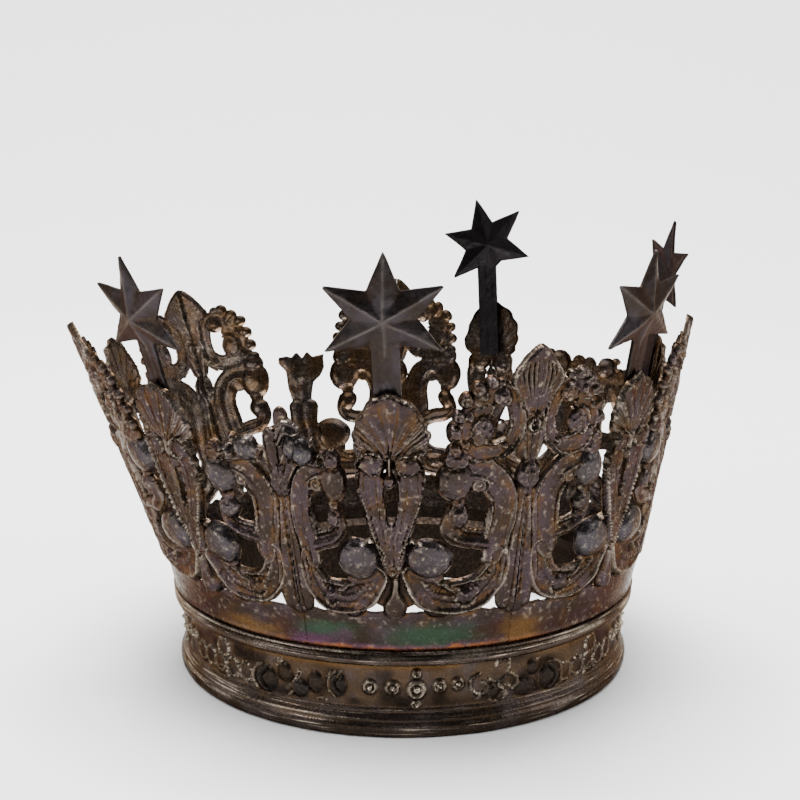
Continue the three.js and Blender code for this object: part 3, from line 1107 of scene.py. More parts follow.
# The pointed shell on a crest: heights in mm, each with the shell's half-width
CREST_SHELL = ((66.2, 2.9), (70, 4.0), (73.5, 6.0), (76, 8.6), (77.8, 9.0), (79.6, 7.9), (82, 6.3),
               (84.4, 4.3), (86.4, 2.1), (87.4, 0.3))
# The length of a sheet's shell from its top to its lowest side, in mm
SHELL_REACH = (20.6, 18.4, 15.0, 12.9, 9.3)
# How a sheet's drawing sways: the waves' size and reach in mm, and what picks them
SWAYS = ((8.0, 0.65, 1), (3.4, 0.22, 7))

# Stains on the collar, and a painted orange highlight line along its lower edge: azimuth and half-width in
# degrees, height and half-height in mm, colour, strength
GREEN, ROSE, ORANGE_GLINT = (0.020, 0.040, 0.024), (0.055, 0.022, 0.042), (0.17, 0.055, 0.018)
GOLD, UMBER, SOOT = (0.085, 0.043, 0.014), (0.022, 0.009, 0.007), (0.006, 0.0058, 0.0068)
COLLAR_STAINS = (
    (-36, 9, 30.6, 2.6, GOLD, 0.8), (-26, 4, 33.0, 5.0, UMBER, 0.7), (-16, 7, 33.6, 3.2, GREEN, 0.85),
    (-20, 5, 30.4, 1.9, ROSE, 0.8), (-13.5, 2.6, 32.2, 2.2, ROSE, 0.55), (-8, 4, 32.4, 3.6, UMBER, 0.6),
    (-4, 3, 33.6, 2.2, ROSE, 0.45), (6, 11, 32.6, 3.8, GREEN, 0.85), (20, 4.4, 33.0, 3.6, UMBER, 0.9),
    # The thin orange line at 28 mm, along the collar's lower edge, is a painted highlight.
    (26, 5.6, 31.4, 5.0, GOLD, 0.85), (0, 32, 28.0, 0.9, ORANGE_GLINT, 0.8), (-2, 20, 29.2, 0.7, ROSE, 0.5),
    (35, 7, 31.2, 3.0, UMBER, 0.5), *((place, 5, 31.6, 4.4, GOLD, 0.6) for place in (78, 128, 180, 232, 285)),
)


@dataclass
class GallerySheet:
    """One pierced and chased sheet with its collar, its shell and half a crest on each side.

    Attributes:
        index: Its number round the ring.
        name: The name of its side of the crown.
        crests: What is left of the crests on its left and right.
        has_shell: Whether its shell is left.
        growth: How much taller than usual the shell is, in mm.
        blue: How blue-grey its bosses are.
        cell: The distance between two points of its grid, in mm.
        half_width: How far the grid reaches to each side.
        below: How far it reaches below the collar's foot.
        above: How far it reaches over the fold.
        collar_rim: The height of the collar's ragged edge over the fold.
        stub_top: Where the stub of a lost shell ends.
        seam: Half the gap between two sheets.
        metal: The metal's thickness.
    """

    index: int
    name: str
    crests: tuple[Crest, Crest]
    has_shell: bool = True
    growth: float = 0.0
    blue: float = 0.2
    cell: float = 0.55
    half_width: float = 47.0
    below: float = 8.0
    above: float = 90.0
    collar_rim: float = 4.2
    stub_top: float = 56.0
    seam: float = 0.04
    metal: float = 1.0

    def worked(self, form: CrownForm) -> Sheet:
        """Draws and chases the flat sheet.

        Args:
            form: The crown's form, for the angle between the seams.

        Returns:
            The sheet's relief and outline.
        """
        across = np.arange(-self.half_width, self.half_width + self.cell, self.cell)
        up = np.arange(-form.collar_height - self.below, self.above, self.cell)
        x, y = np.meshgrid(across, up)
        seed = 11 * self.index
        # The drawing sways a little, but not at the seams and the collar
        turned = np.arctan2(x, y + form.apex)
        free = smooth(form.half_turn - np.abs(turned), 0.0, 0.02) * smooth(y, 2.0, 9.0)
        wx, wy = x, y
        for size, sway, first in SWAYS:
            wx = wx + sway * free * mottle(x, y, size, seed + first)
            wy = wy + sway * free * mottle(x, y, size, seed + first + 1)
        sheet = Sheet(x, y)
        everywhere = np.ones(x.shape, dtype=bool)
        self.collar(Pen(sheet, x, y, everywhere), form)
        reach, angle = np.hypot(wx, wy + form.apex), np.arctan2(wx, wy + form.apex)
        beside = np.abs(angle) - form.half_turn
        crest_x, crest_y = reach * np.sin(beside), reach * np.cos(beside) - form.apex
        for side, crest in zip((-1, 1), self.crests):
            pen = Pen(sheet, crest_x, crest_y, x * side >= 0)
            self.fluting(pen)
            self.lower_scroll(pen)
            self.upper_scroll(pen)
            if crest is Crest.WHOLE:
                self.crest_ring(pen)
                self.crest_axis(pen)
            else:
                self.crest_remains(pen, crest)
        middle = Pen(sheet, wx, wy, everywhere)
        halves = Pen(sheet, np.abs(wx), wy, everywhere)
        self.lyre(halves, middle)
        if self.has_shell:
            lengths = [length + self.growth * (1 - k / 4) for k, length in enumerate(SHELL_REACH)]
            middle.fan(0.0, 54.2, lengths, 1.42, 9, 2.1, seed + 3)
            self.volutes(halves)
        else:
            self.stub(middle)
        self.clipped(sheet, form)
        grain = 0.10 * mottle(x, y, 2.9, seed + 4) + 0.04 * mottle(x, y, 1.2, seed + 5)
        sheet.height += grain * smooth(y, 0.0, 5.0) * (1 - 0.85 * np.clip(sheet.blue, 0, 1))
        sheet.bright *= np.clip(0.8 + 0.7 * mottle(x, y, 3.3, seed + 6), 0.25, 1)
        return sheet

    def collar(self, pen: Pen, form: CrownForm) -> None:
        """Lays the plain collar.

        Args:
            pen: A pen in the sheet's own coordinates.
            form: The crown's form, for the collar's height.
        """
        sheet = pen.sheet
        ring = np.hypot(sheet.x, sheet.y + form.apex) - form.apex
        edge = self.collar_rim + 0.5 * raggedness(sheet.x, 1.3, 31 + self.index, 3.0)
        sheet.solid = np.maximum(sheet.solid, np.minimum(ring + form.collar_height + 0.6, edge - ring))
        sheet.height += 0.25 * bump(ring + form.collar_height, 0.7, 0.5)
        sheet.height += 0.06 * mottle(sheet.x, sheet.y, 7.0, 17 + self.index) * (ring < 4)

    def fluting(self, pen: Pen) -> None:
        """Chases the long leaves of the stem on the crest's line.

        Args:
            pen: A pen in the crest's coordinates.
        """
        pen.strap([(0, 7.4), (0, 20), (0, 32), (0, 43)], (10.6, 10.8, 10.4, 6.6), ridge(0.7))
        pen.strap([(-6.0, 13), (-5.0, 22), (-4.6, 31), (-3.0, 42)], (1.6, 2.6, 2.4, 1.2), ridge(1.05),
                  (0.3, 0.0))
        pen.strap([(-3.5, 6.0), (-3.6, 11), (-2.6, 21), (-1.9, 32), (-0.9, 42)], (4.6, 5.6, 4.0, 2.4, 1.0),
                  ridge(1.25), (0.1, 0.05))
        pen.strap([(-0.4, 6), (-0.4, 14), (-0.2, 24), (0, 36), (0, 43)], (1.4, 1.8, 1.4, 1.2, 0.8),
                  ridge(1.15), (0.15, 0.15))
        for line in ([(-6.9, 12), (-6.0, 20), (-5.8, 29), (-4.4, 40)],
                     [(-4.6, 15), (-3.8, 24), (-3.2, 34), (-2.0, 42)],
                     [(-1.4, 8), (-1.3, 18), (-0.9, 30), (-0.5, 41)]):
            pen.groove(line, 0.55, 0.16)
        for line in ([(-4.9, 9), (-5.0, 14), (-4.2, 22)], [(-2.0, 12), (-1.8, 20), (-1.5, 30)]):
            pen.strap(line, (0.3, 0.45, 0.3), ridge(1.4), (0.5, 0.5))

    def lower_scroll(self, pen: Pen) -> None:
        """Chases the U-shaped scroll over the collar, with its beading and its boss.

        Args:
            pen: A pen in the crest's coordinates.
        """
        line = [(-6.6, 23), (-7.4, 17), (-11.5, 10.8), (-18.4, 8.7), (-26, 9.6), (-31.4, 15.5)]
        pen.strap(line, (6.5, 9.0, 11.0, 11.6, 11.2, 8.4), pebbled(gutter(1.25, 1.0, 0.75)), (0.3, 0.1))
        pen.strap([(-8.0, 21), (-9.0, 16), (-12.6, 10.8), (-18.4, 8.6), (-25, 9.6), (-29, 13.4)],
                  (1.0, 2.6, 3.4, 3.8, 3.4, 1.8), ridge(0.9), (0.0, 0.0))
        for k in range(17):
            angle = math.radians(186 + 9.5 * k)
            cosine, sine = math.cos(angle), math.sin(angle)
            ends = [(-19.6 + wide * cosine, 15.4 + high * sine) for wide, high in ((5.2, 4.4), (8.8, 8.4))]
            pen.groove(ends, 0.6, 0.24)
        pen.boss(-15.4, 9.6, 3.3, 2.9, 1.7, 0.05, 0.2, 0.4)
        pen.boss(-15.4, 10.2, 1.4, 1.2, 2.1, 0.0, 0.1)
        pen.beads([(-18.8, 10.6), (-18.0, 7.2), (-15.0, 6.0), (-12.4, 7.6), (-11.9, 10.4)], 0.5, 13, 0.42,
                  0.2)
        pen.beads([(-9.4, 20.4), (-9.6, 17.0), (-11.2, 14.6), (-13.4, 14.2)], 0.5, 8, 0.36, 0.2)
        pen.strap([(-22.6, 13.8), (-20.4, 12.0), (-17.6, 11.4)], (1.8, 2.4, 1.0), ridge(1.6), (0.3, 0.1))
        pen.strap([(-24.0, 15.5), (-28.6, 16.5), (-32.0, 21.5)], (4.0, 6.4, 5.0), ridge(1.2))
        self.dome(pen, -27.4, 21.2, 7.2, 6.9, 2.6, 0.25, max(0.5, self.blue))

    def dome(self, pen: Pen, x: float, y: float, wide: float, high: float, rise: float, turned: float,
             blue: float) -> None:
        """Raises one of the large bosses, smooth and blue or stippled and brown.

        Args:
            pen: A pen in the crest's coordinates.
            x: Its middle across the drawing.
            y: Its middle up it.
            wide: Half its width.
            high: Half its height.
            rise: How high it stands.
            turned: How far it is turned, in radians.
            blue: How blue-grey and smooth it is, up to one.
        """
        pen.boss(x, y, wide, high, rise * (0.8 + 0.6 * self.blue), blue, 0.2 * (1 - blue), turned)
        pen.groove([(x - 0.3 * wide, y + 0.35 * high), (x + 0.1 * wide, y), (x, y - 0.5 * high)], 5.0, 0.35)
        pen.groove(oval(x, y, 0.93 * wide, 0.93 * high, 13), 0.9, 0.3)

    def upper_scroll(self, pen: Pen) -> None:
        """Chases the scroll that turns over to a boss, and the hook with its ball inside.

        Args:
            pen: A pen in the crest's coordinates.
        """
        scroll = [(-9.2, 22.0), (-8.4, 27.5), (-7.4, 34), (-7.6, 41), (-10.4, 46.6), (-15.6, 49.4),
                  (-21.5, 49.6)]
        pen.strap(scroll, (6.0, 8.6, 10.2, 10.0, 9.6, 9.0, 8.4), rolled(1.5, 3), (0.25, 0.1))
        pen.strap([(-11.6, 30), (-11.2, 36), (-11.8, 41.6), (-14.6, 44.6), (-18.0, 43.6)],
                  (1.0, 1.5, 1.7, 1.6, 1.0), ridge(1.5), (0.2, 0.3))
        pen.rings(-14.8, 45.4, 2.3, 0.9, 2.3)
        if self.blue > 0.5:
            for x in (-8.4, -9.7, -11.0, -12.3):
                pen.strap([(x, 31.6), (x - 0.2, 28.8), (x - 1.4, 26.2)], (0.5, 0.8, 0.5), ridge(1.9),
                          (0.95, 0.95))
        hook = [(-10.8, 27.6), (-14.8, 28.4), (-19.2, 29.0), (-22.4, 31.8), (-22.0, 36.0)]
        pen.strap(hook, (7.0, 6.4, 6.2, 5.6, 5.0), pebbled(rolled(1.5, 1)), (0.2, 0.1))
        pen.groove([(-12.4, 29.8), (-18.4, 30.6), (-20.2, 32.4)], 0.8, 0.5)
        pen.boss(-20.8, 35.6, 3.5, 3.8, 2.2, self.blue * 0.5, 0.2)
        pen.groove([(-22.4, 33.8), (-22.8, 36.4), (-20.8, 38.0), (-19.2, 36.4), (-20.4, 34.9)], 0.6, 0.4)
        pen.boss(-21.0, 40.2, 2.4, 2.6, 1.3, 0.0, 0.2)
        self.dome(pen, -22.4, 46.4, 5.8, 6.8, 2.5, 0.15, self.blue)
        pen.boss(-23.0, 53.6, 3.9, 3.6, 2.0, 0.0, 0.3)
        pen.groove([(-26.0, 51.6), (-23.2, 50.6), (-20.2, 52.6), (-19.6, 55)], 0.8, 0.4)
        pen.groove([(-24.4, 54.6), (-22.8, 55.4), (-21.8, 54.0), (-23.0, 53.0)], 0.6, 0.35)

    def crest_ring(self, pen: Pen) -> None:
        """Chases the open ring beside the crest's line, its curl and the knobs round it.

        Args:
            pen: A pen in the crest's coordinates.
        """
        pen.strap([(-8, 74.4), (-14.0, 73.8), (-19.2, 69.4), (-21.2, 63), (-20.4, 57), (-16.6, 53.6)],
                  (5, 6.4, 6.4, 6.0, 6.6, 5), ridge(0.6))
        ring = [(-11.4, 75.0), (-7.6, 72.0), (-5.9, 65.5), (-6.8, 59.4), (-11.4, 55.8), (-17.0, 56.8),
                (-20.0, 61.4), (-19.0, 66.4), (-15.6, 68.6)]
        pen.strap(ring, (4.0, 5.4, 4.2, 4.6, 6.6, 7.6, 7.8, 6.4, 3.8), pebbled(gutter(1.3, 0.8, 0.9, 0.3)),
                  (0.2, 0.2))
        pen.strap([(-9.4, 76.6), (-5.0, 72.4), (-3.6, 65), (-4.6, 57.6), (-8.2, 53.4)],
                  (0.9, 1.2, 1.2, 1.2, 0.8), ridge(1.8), (0.55, 0.3))
        pen.boss(-11.4, 72.2, 3.5, 3.3, 2.1, 0.05, 0.3)
        pen.groove([(-13.4, 71.6), (-11.6, 70.4), (-9.8, 71.8), (-10.6, 73.6), (-12.4, 73.4)], 0.6, 0.4)
        pen.boss(-16.8, 62.4, 4.4, 4.8, 1.3, 0.05, 0.35, 0.4)
        pen.strap([(-13.6, 66.6), (-17.4, 66.6), (-19.6, 62.8), (-17.8, 58.8), (-14.6, 59.4)],
                  (0.8, 1.1, 1.2, 1.1, 0.7), ridge(1.9), (0.4, 0.4))
        for x, y, radius in ((-15.2, 77.0, 2.2), (-18.8, 74.6, 2.4), (-22.2, 71.4, 2.5), (-24.0, 66.6, 2.2),
                             (-24.6, 61.6, 2.3), (-24.2, 56.6, 2.3), (-12.0, 77.0, 1.6)):
            pen.boss(x, y, radius, radius * 0.94, 1.7, 0.05, 0.4)
            pen.groove([(x - 0.8, y), (x, y + 0.8), (x + 0.8, y), (x, y - 0.8), (x - 0.8, y)], 0.6, 0.35)
        for x, y, wide in ((-20.6, 66.8, 1.5), (-20.9, 58.6, 1.7), (-17.2, 72.6, 1.6), (-8.6, 57.4, 1.1)):
            pen.boss(x, y, wide, wide, 1.7, 0.0, 0.3)

    def crest_axis(self, pen: Pen) -> None:
        """Chases the bud, the trunk, the rosette and the pointed shell on the crest's line.

        Args:
            pen: A pen in the crest's coordinates.
        """
        pen.leaf(0.0, [(51.2, 1.8), (54, 3.6), (58, 4.8), (62, 6.0), (65.5, 6.4), (69.4, 5.2)], ridge(0.8))
        pen.strap([(-1.8, 53), (-2.6, 58), (-3.4, 63), (-2.2, 68)], (1.6, 2.6, 2.8, 1.2), ridge(1.4),
                  (0.2, 0.1))
        pen.boss(0, 47.6, 4.1, 5.1, 2.1, 0.1, 0.4)
        pen.boss(0, 43.2, 1.8, 2.6, 1.6, 0.0, 0.2)
        pen.leaf(0.0, CREST_SHELL, rimmed(1.7, 0.45), 0.35)
        for x, depth in ((-0.9, 0.5), (-2.3, 0.6), (-3.9, 0.6), (-5.5, 0.5), (-6.9, 0.4)):
            pen.groove([(x * 0.2, 67.2), (x * 0.62, 73), (x, 79.0), (x * 0.92, 83.8 + 0.45 * x)], 0.75, depth)
        pen.strap([(-0.2, 67.6), (-0.3, 74), (-0.2, 80), (0, 84.6)], (0.5, 0.8, 0.7, 0.3), ridge(2.3),
                  (0.6, 0.6))
        pen.strap([(-0.8, 68.4), (-1.9, 74), (-3.1, 79.6), (-3.0, 82.6)], (0.4, 0.6, 0.6, 0.3), ridge(2.2),
                  (0.4, 0.4))
        pen.rings(0, 63.4, 3.3, 1.7, 1.7)

    def crest_remains(self, pen: Pen, crest: Crest) -> None:
        """Chases what is left where a crest broke off over its scrolls.

        Args:
            pen: A pen in the crest's coordinates.
            crest: How much is left.
        """
        pen.boss(0, 47.2, 4.4, 6.0, 2.0, 0.1, 0.4)
        pen.strap([(0, 46), (-5, 53), (-10.4, 54.4), (-18.6, 52.4)], (6, 7, 5.8, 5), pebbled(rolled(1.3)),
                  (0.3, 0.2))
        if crest is Crest.GONE:
            pen.strap([(0, 51), (-1.4, 54.4), (-2.6, 57)], (8, 7.6, 5.6), pebbled(rolled(1.3, 1)))
        elif self.index:
            pen.strap([(0, 51), (-0.8, 55), (-1.6, 60.4)], (8, 7.6, 5.6), pebbled(rolled(1.3, 1)), (0.3, 0.2))
        else:
            pen.strap([(0, 51), (-1.0, 56), (-1.6, 61), (-3.4, 66.6)], (8, 7.4, 5.2, 6.4),
                      pebbled(ridge(0.5)))
            pen.strap([(-1.6, 59.6), (-4.6, 63.0), (-9.4, 62.0)], (3.6, 6.4, 4.4), rolled(2.2, 1),
                      (0.4, 0.2), 0.5)
            pen.boss(-7.0, 57.6, 4.2, 3.9, 2.5, 0.8, 0.1)
        pen.boss(-11.2, 56.2, 4.9, 4.5, 2.8, 0.8, 0.1)
        pen.groove([(-15.0, 54.4), (-11.4, 52.4), (-6.8, 53.2), (-4.6, 56.0)], 0.9, 0.5)
        pen.groove([(-8.4, 60.6), (-8.8, 57.4), (-7.4, 54.6)], 0.7, 0.4)
        pen.boss(-18.8, 54.0, 3.1, 3.0, 2.0, 0.1, 0.3)
        pen.rings(-18.8, 54.0, 1.5, 2.2, 1.5)
        pen.boss(-15.6, 59.4, 1.7, 1.5, 1.8, 0.1, 0.3)

    def lyre(self, halves: Pen, middle: Pen) -> None:
        """Chases the foot, the lyre with its two volutes, and the bud in its opening.

        Args:
            halves: A pen that draws both sides alike.
            middle: A pen across the middle line.
        """
        middle.leaf(0.0, [(6.2, 2.6), (7.2, 5.0), (9, 6.6), (11, 6.8), (13.6, 5.2), (17, 3.0), (19.0, 1.6)],
                    ridge(0.3))
        middle.leaf(0.0, [(3.3, 1.0), (4.2, 2.9), (6.2, 3.6), (8.4, 3.2), (10.4, 2.2), (12.6, 1.6),
                          (15.6, 1.3), (18.4, 1.3)], ridge(2.1))
        halves.strap([(14.0, 4.4), (10.8, 5.2), (8.9, 8.8)], (3.6, 4.6, 4.2), ridge(0.9))
        if not self.has_shell:
            halves.strap([(1.3, 18.6), (2.4, 26), (3.2, 34.5)], (2.4, 5.0, 6.2), flutes(3, 1.3, 0.8))
            middle.rings(0, 18.2, 1.5, 2.2, 1.7)
            return
        halves.strap([(1.3, 18.6), (2.7, 28.5), (4.8, 38), (5.7, 45), (5.5, 51.5)],
                     (2.4, 5.0, 6.6, 7.2, 6.8), flutes(3, 1.5, 0.86))
        middle.leaf(0.0, [(18.4, 1.2), (22, 2.0), (26, 2.6), (30, 2.8), (33, 2.0), (34.6, 0.6)],
                    flutes(3, 1.2, 0.7))
        for shift in (-1.5, 0.3, 1.9):
            halves.groove([(1.6 + 0.4 * shift, 24), (3.0 + 0.6 * shift, 31), (4.7 + 0.8 * shift, 38),
                           (5.6 + shift, 45), (5.2 + shift, 50)], 0.45, 0.3)
        halves.strap([(1.0, 19.2), (4.3, 29.0), (7.2, 38), (8.9, 45.5), (8.9, 50.4), (7.0, 54.4), (3.6, 55.6),
                      (1.9, 53.4), (3.2, 51.2), (5.2, 51.8), (5.2, 53.6)],
                     (0.8, 0.95, 1.05, 1.1, 1.1, 1.1, 1.1, 1.0, 0.9, 0.9, 0.8), ridge(2.6), (0.9, 0.9))
        halves.strap([(0.7, 31), (1.9, 39), (2.3, 45.5), (2.1, 49.5)], (0.6, 0.8, 0.8, 0.6), ridge(1.9),
                     (0.25, 0.25))
        middle.rings(0, 18.2, 1.6, 2.4, 1.7)
        middle.boss(-0.4, 48.2, 1.9, 2.6, 1.6, 0.0, 0.2)
        middle.strap([(0, 50.4), (0, 54), (0, 58.5)], (1.4, 2.2, 0.8), ridge(2.2), (0.1, 0.1))
        halves.strap([(0.9, 19.6), (1.9, 24.0), (3.4, 27.4), (5.8, 29.0), (8.6, 27.4), (12.0, 26.2)],
                     (0.7, 0.9, 1.0, 1.0, 0.9, 0.7), ridge(2.4), (0.8, 0.8))

    def volutes(self, halves: Pen) -> None:
        """Chases the two small volutes that the lyre ends in, over the foot of the shell.

        Args:
            halves: A pen that draws both sides alike.
        """
        halves.boss(4.9, 53.0, 4.2, 3.9, 2.5, 0.1)
        coil = [(8.6, 49.0), (9.0, 53.4), (6.6, 56.7), (3.0, 56.2), (1.5, 53.4), (2.8, 50.8), (5.4, 50.6),
                (6.6, 52.8), (5.2, 54.4), (4.2, 53.2)]
        halves.strap(coil, (1.0, 1.2, 1.2, 1.2, 1.1, 1.1, 1.0, 0.9, 0.9, 0.9), ridge(3.0), (0.55, 0.25))

    def stub(self, middle: Pen) -> None:
        """Chases the ragged stub that is left where the star and its shell broke away.

        Args:
            middle: A pen across the middle line.
        """
        middle.strap([(0, 31), (0.4, 39), (-0.8, 47), (-3, 52.5)], (7, 8.6, 11, 16), pebbled(rolled(0.8, 3)),
                     (0.3, 0.3))
        middle.strap([(-2, 46), (-6.4, 51), (-8.4, 56.6)], (6, 7.6, 6.4), pebbled(ridge(1.0)))
        middle.strap([(1, 46), (1.6, 51), (4.6, 54.6)], (6, 7, 6.4), pebbled(ridge(0.7)))

    def clipped(self, sheet: Sheet, form: CrownForm) -> None:
        """Cuts the sheet off along its seams.

        Args:
            sheet: The sheet that is cut.
            form: The crown's form, for the seams' angle.
        """
        turned = np.arctan2(sheet.x, sheet.y + form.apex)
        gap = (form.half_turn - np.abs(turned)) * (sheet.y + form.apex) - self.seam
        if not self.has_shell:
            beside = np.abs(sheet.x + 2.0) > 11
            top = self.stub_top + 1.4 * raggedness(sheet.x, 2.2, 77) - sheet.y
            sheet.solid = np.minimum(sheet.solid, np.where(beside, FAR, top))
        sheet.solid = np.minimum(sheet.solid, gap)

    def patina(self, azimuth: Array, height: Array) -> Array:
        """Colours the collar with heat and tarnish, and paints an orange highlight line along its lower edge.

        Args:
            azimuth: Each corner's angle in degrees, from the front to the right.
            height: Its height in mm.

        Returns:
            Red, green, blue and strength at each corner.
        """
        around = azimuth + ROUND_AT
        ripple = value_noise(around, height + FORM_AT, 2.6, 61) + 0.6 * value_noise(around, height, 1.1, 62)
        ripple += 0.45 * value_noise(around, height * 2, 0.6, 63)
        collar = smooth(38.6 - height, 0.0, 2.4)
        colour = np.zeros((len(azimuth), 3))
        strength = np.zeros(len(azimuth))
        for place, wide, level, tall, tint, power in COLLAR_STAINS:
            gap = (azimuth - place + 180) % 360 - 180
            reach = ((gap + 1.4 * ripple) / wide) ** 2 + ((height - level + 0.7 * ripple) / tall) ** 2
            share = power * np.exp(-reach ** 1.5)
            colour = colour * (1 - share[:, None]) + np.array(tint) * share[:, None]
            strength = strength * (1 - share) + share
        colour /= np.maximum(strength, 1e-6)[:, None]
        return np.column_stack([colour, strength * collar])

    def build(self, form: CrownForm) -> bpy.types.Object:
        """Makes the bent sheet with its hollow back.

        Args:
            form: The form that it is bent to.

        Returns:
            The piece.
        """
        sheet = self.worked(form)
        cut = Cutout.of(sheet.solid)
        # The front is rounded off at the outline, and the back follows it at the metal's thickness
        rounded = np.sqrt(np.clip(sheet.solid / 0.9, 0, 1))
        front = sheet.height - 0.35 * (1 - rounded)
        back = blurred(np.where(sheet.solid > 0, sheet.height, sheet.ground), 3) - self.metal
        back = np.clip(np.minimum(back, front - 0.55), 0.02, None)
        x, y = cut.sampled(sheet.x), cut.sampled(sheet.y)
        dent = 0.5 * mottle(x, y, 21.0, 5 + self.index) * smooth(y, 12, 40)
        dent *= smooth(form.half_turn - np.abs(np.arctan2(x, y + form.apex)), 0.0, 0.03)
        arc = form.arc(self.index)
        points = np.vstack([form.bend(x, y, cut.sampled(side) + dent, arc) for side in (front, back)])
        wear_and_painted_light = cut.sampled(sheet.wear(self.cell))
        # The inside is painted with soft glints as painted highlights, and with the front's recesses as dark
        # tarnish and painted shade.
        glint = 0.08 + 0.14 * smooth(mottle(x, y, 2.4, 140 + self.index), -0.2, 0.9)
        inside = np.stack([glint, np.clip(0.05 + 0.5 * wear_and_painted_light[:, 1], 0, 1), wear_and_painted_light[:, 2] * 0.2], axis=1)
        turned = np.degrees(np.arctan2(points[:, 0] / MM - form.axis[0], form.axis[1] - points[:, 1] / MM))
        patina = self.patina(turned, points[:, 2] / MM)
        self.gild(patina[len(x):], x, y)
        return new_piece(f"gallery_{self.name}", points, cut.shell(), np.vstack([wear_and_painted_light, inside]), patina)

    def gild(self, patina: Array, x: Array, y: Array) -> None:
        """Gives the inside a golden tone in soft clouds, over a trace of the collar's stains.

        Args:
            patina: The inside's stains, which are changed.
            x: Each corner's place across the drawing.
            y: Its place up it.
        """
        patina[:, 3] *= 0.3
        clouds = mottle(x, y, 9.0, 150 + self.index) + 0.5 * mottle(x, y, 2.8, 160)
        gilt = (0.55 * smooth(clouds, -0.4, 0.9) * smooth(y, 2.0, 12.0))[:, None]
        share = gilt / np.maximum(gilt + patina[:, 3:], 1e-6)
        patina[:, :3] = patina[:, :3] * (1 - share) + np.array(GOLD) * share
        patina[:, 3:] = np.maximum(patina[:, 3:], gilt)


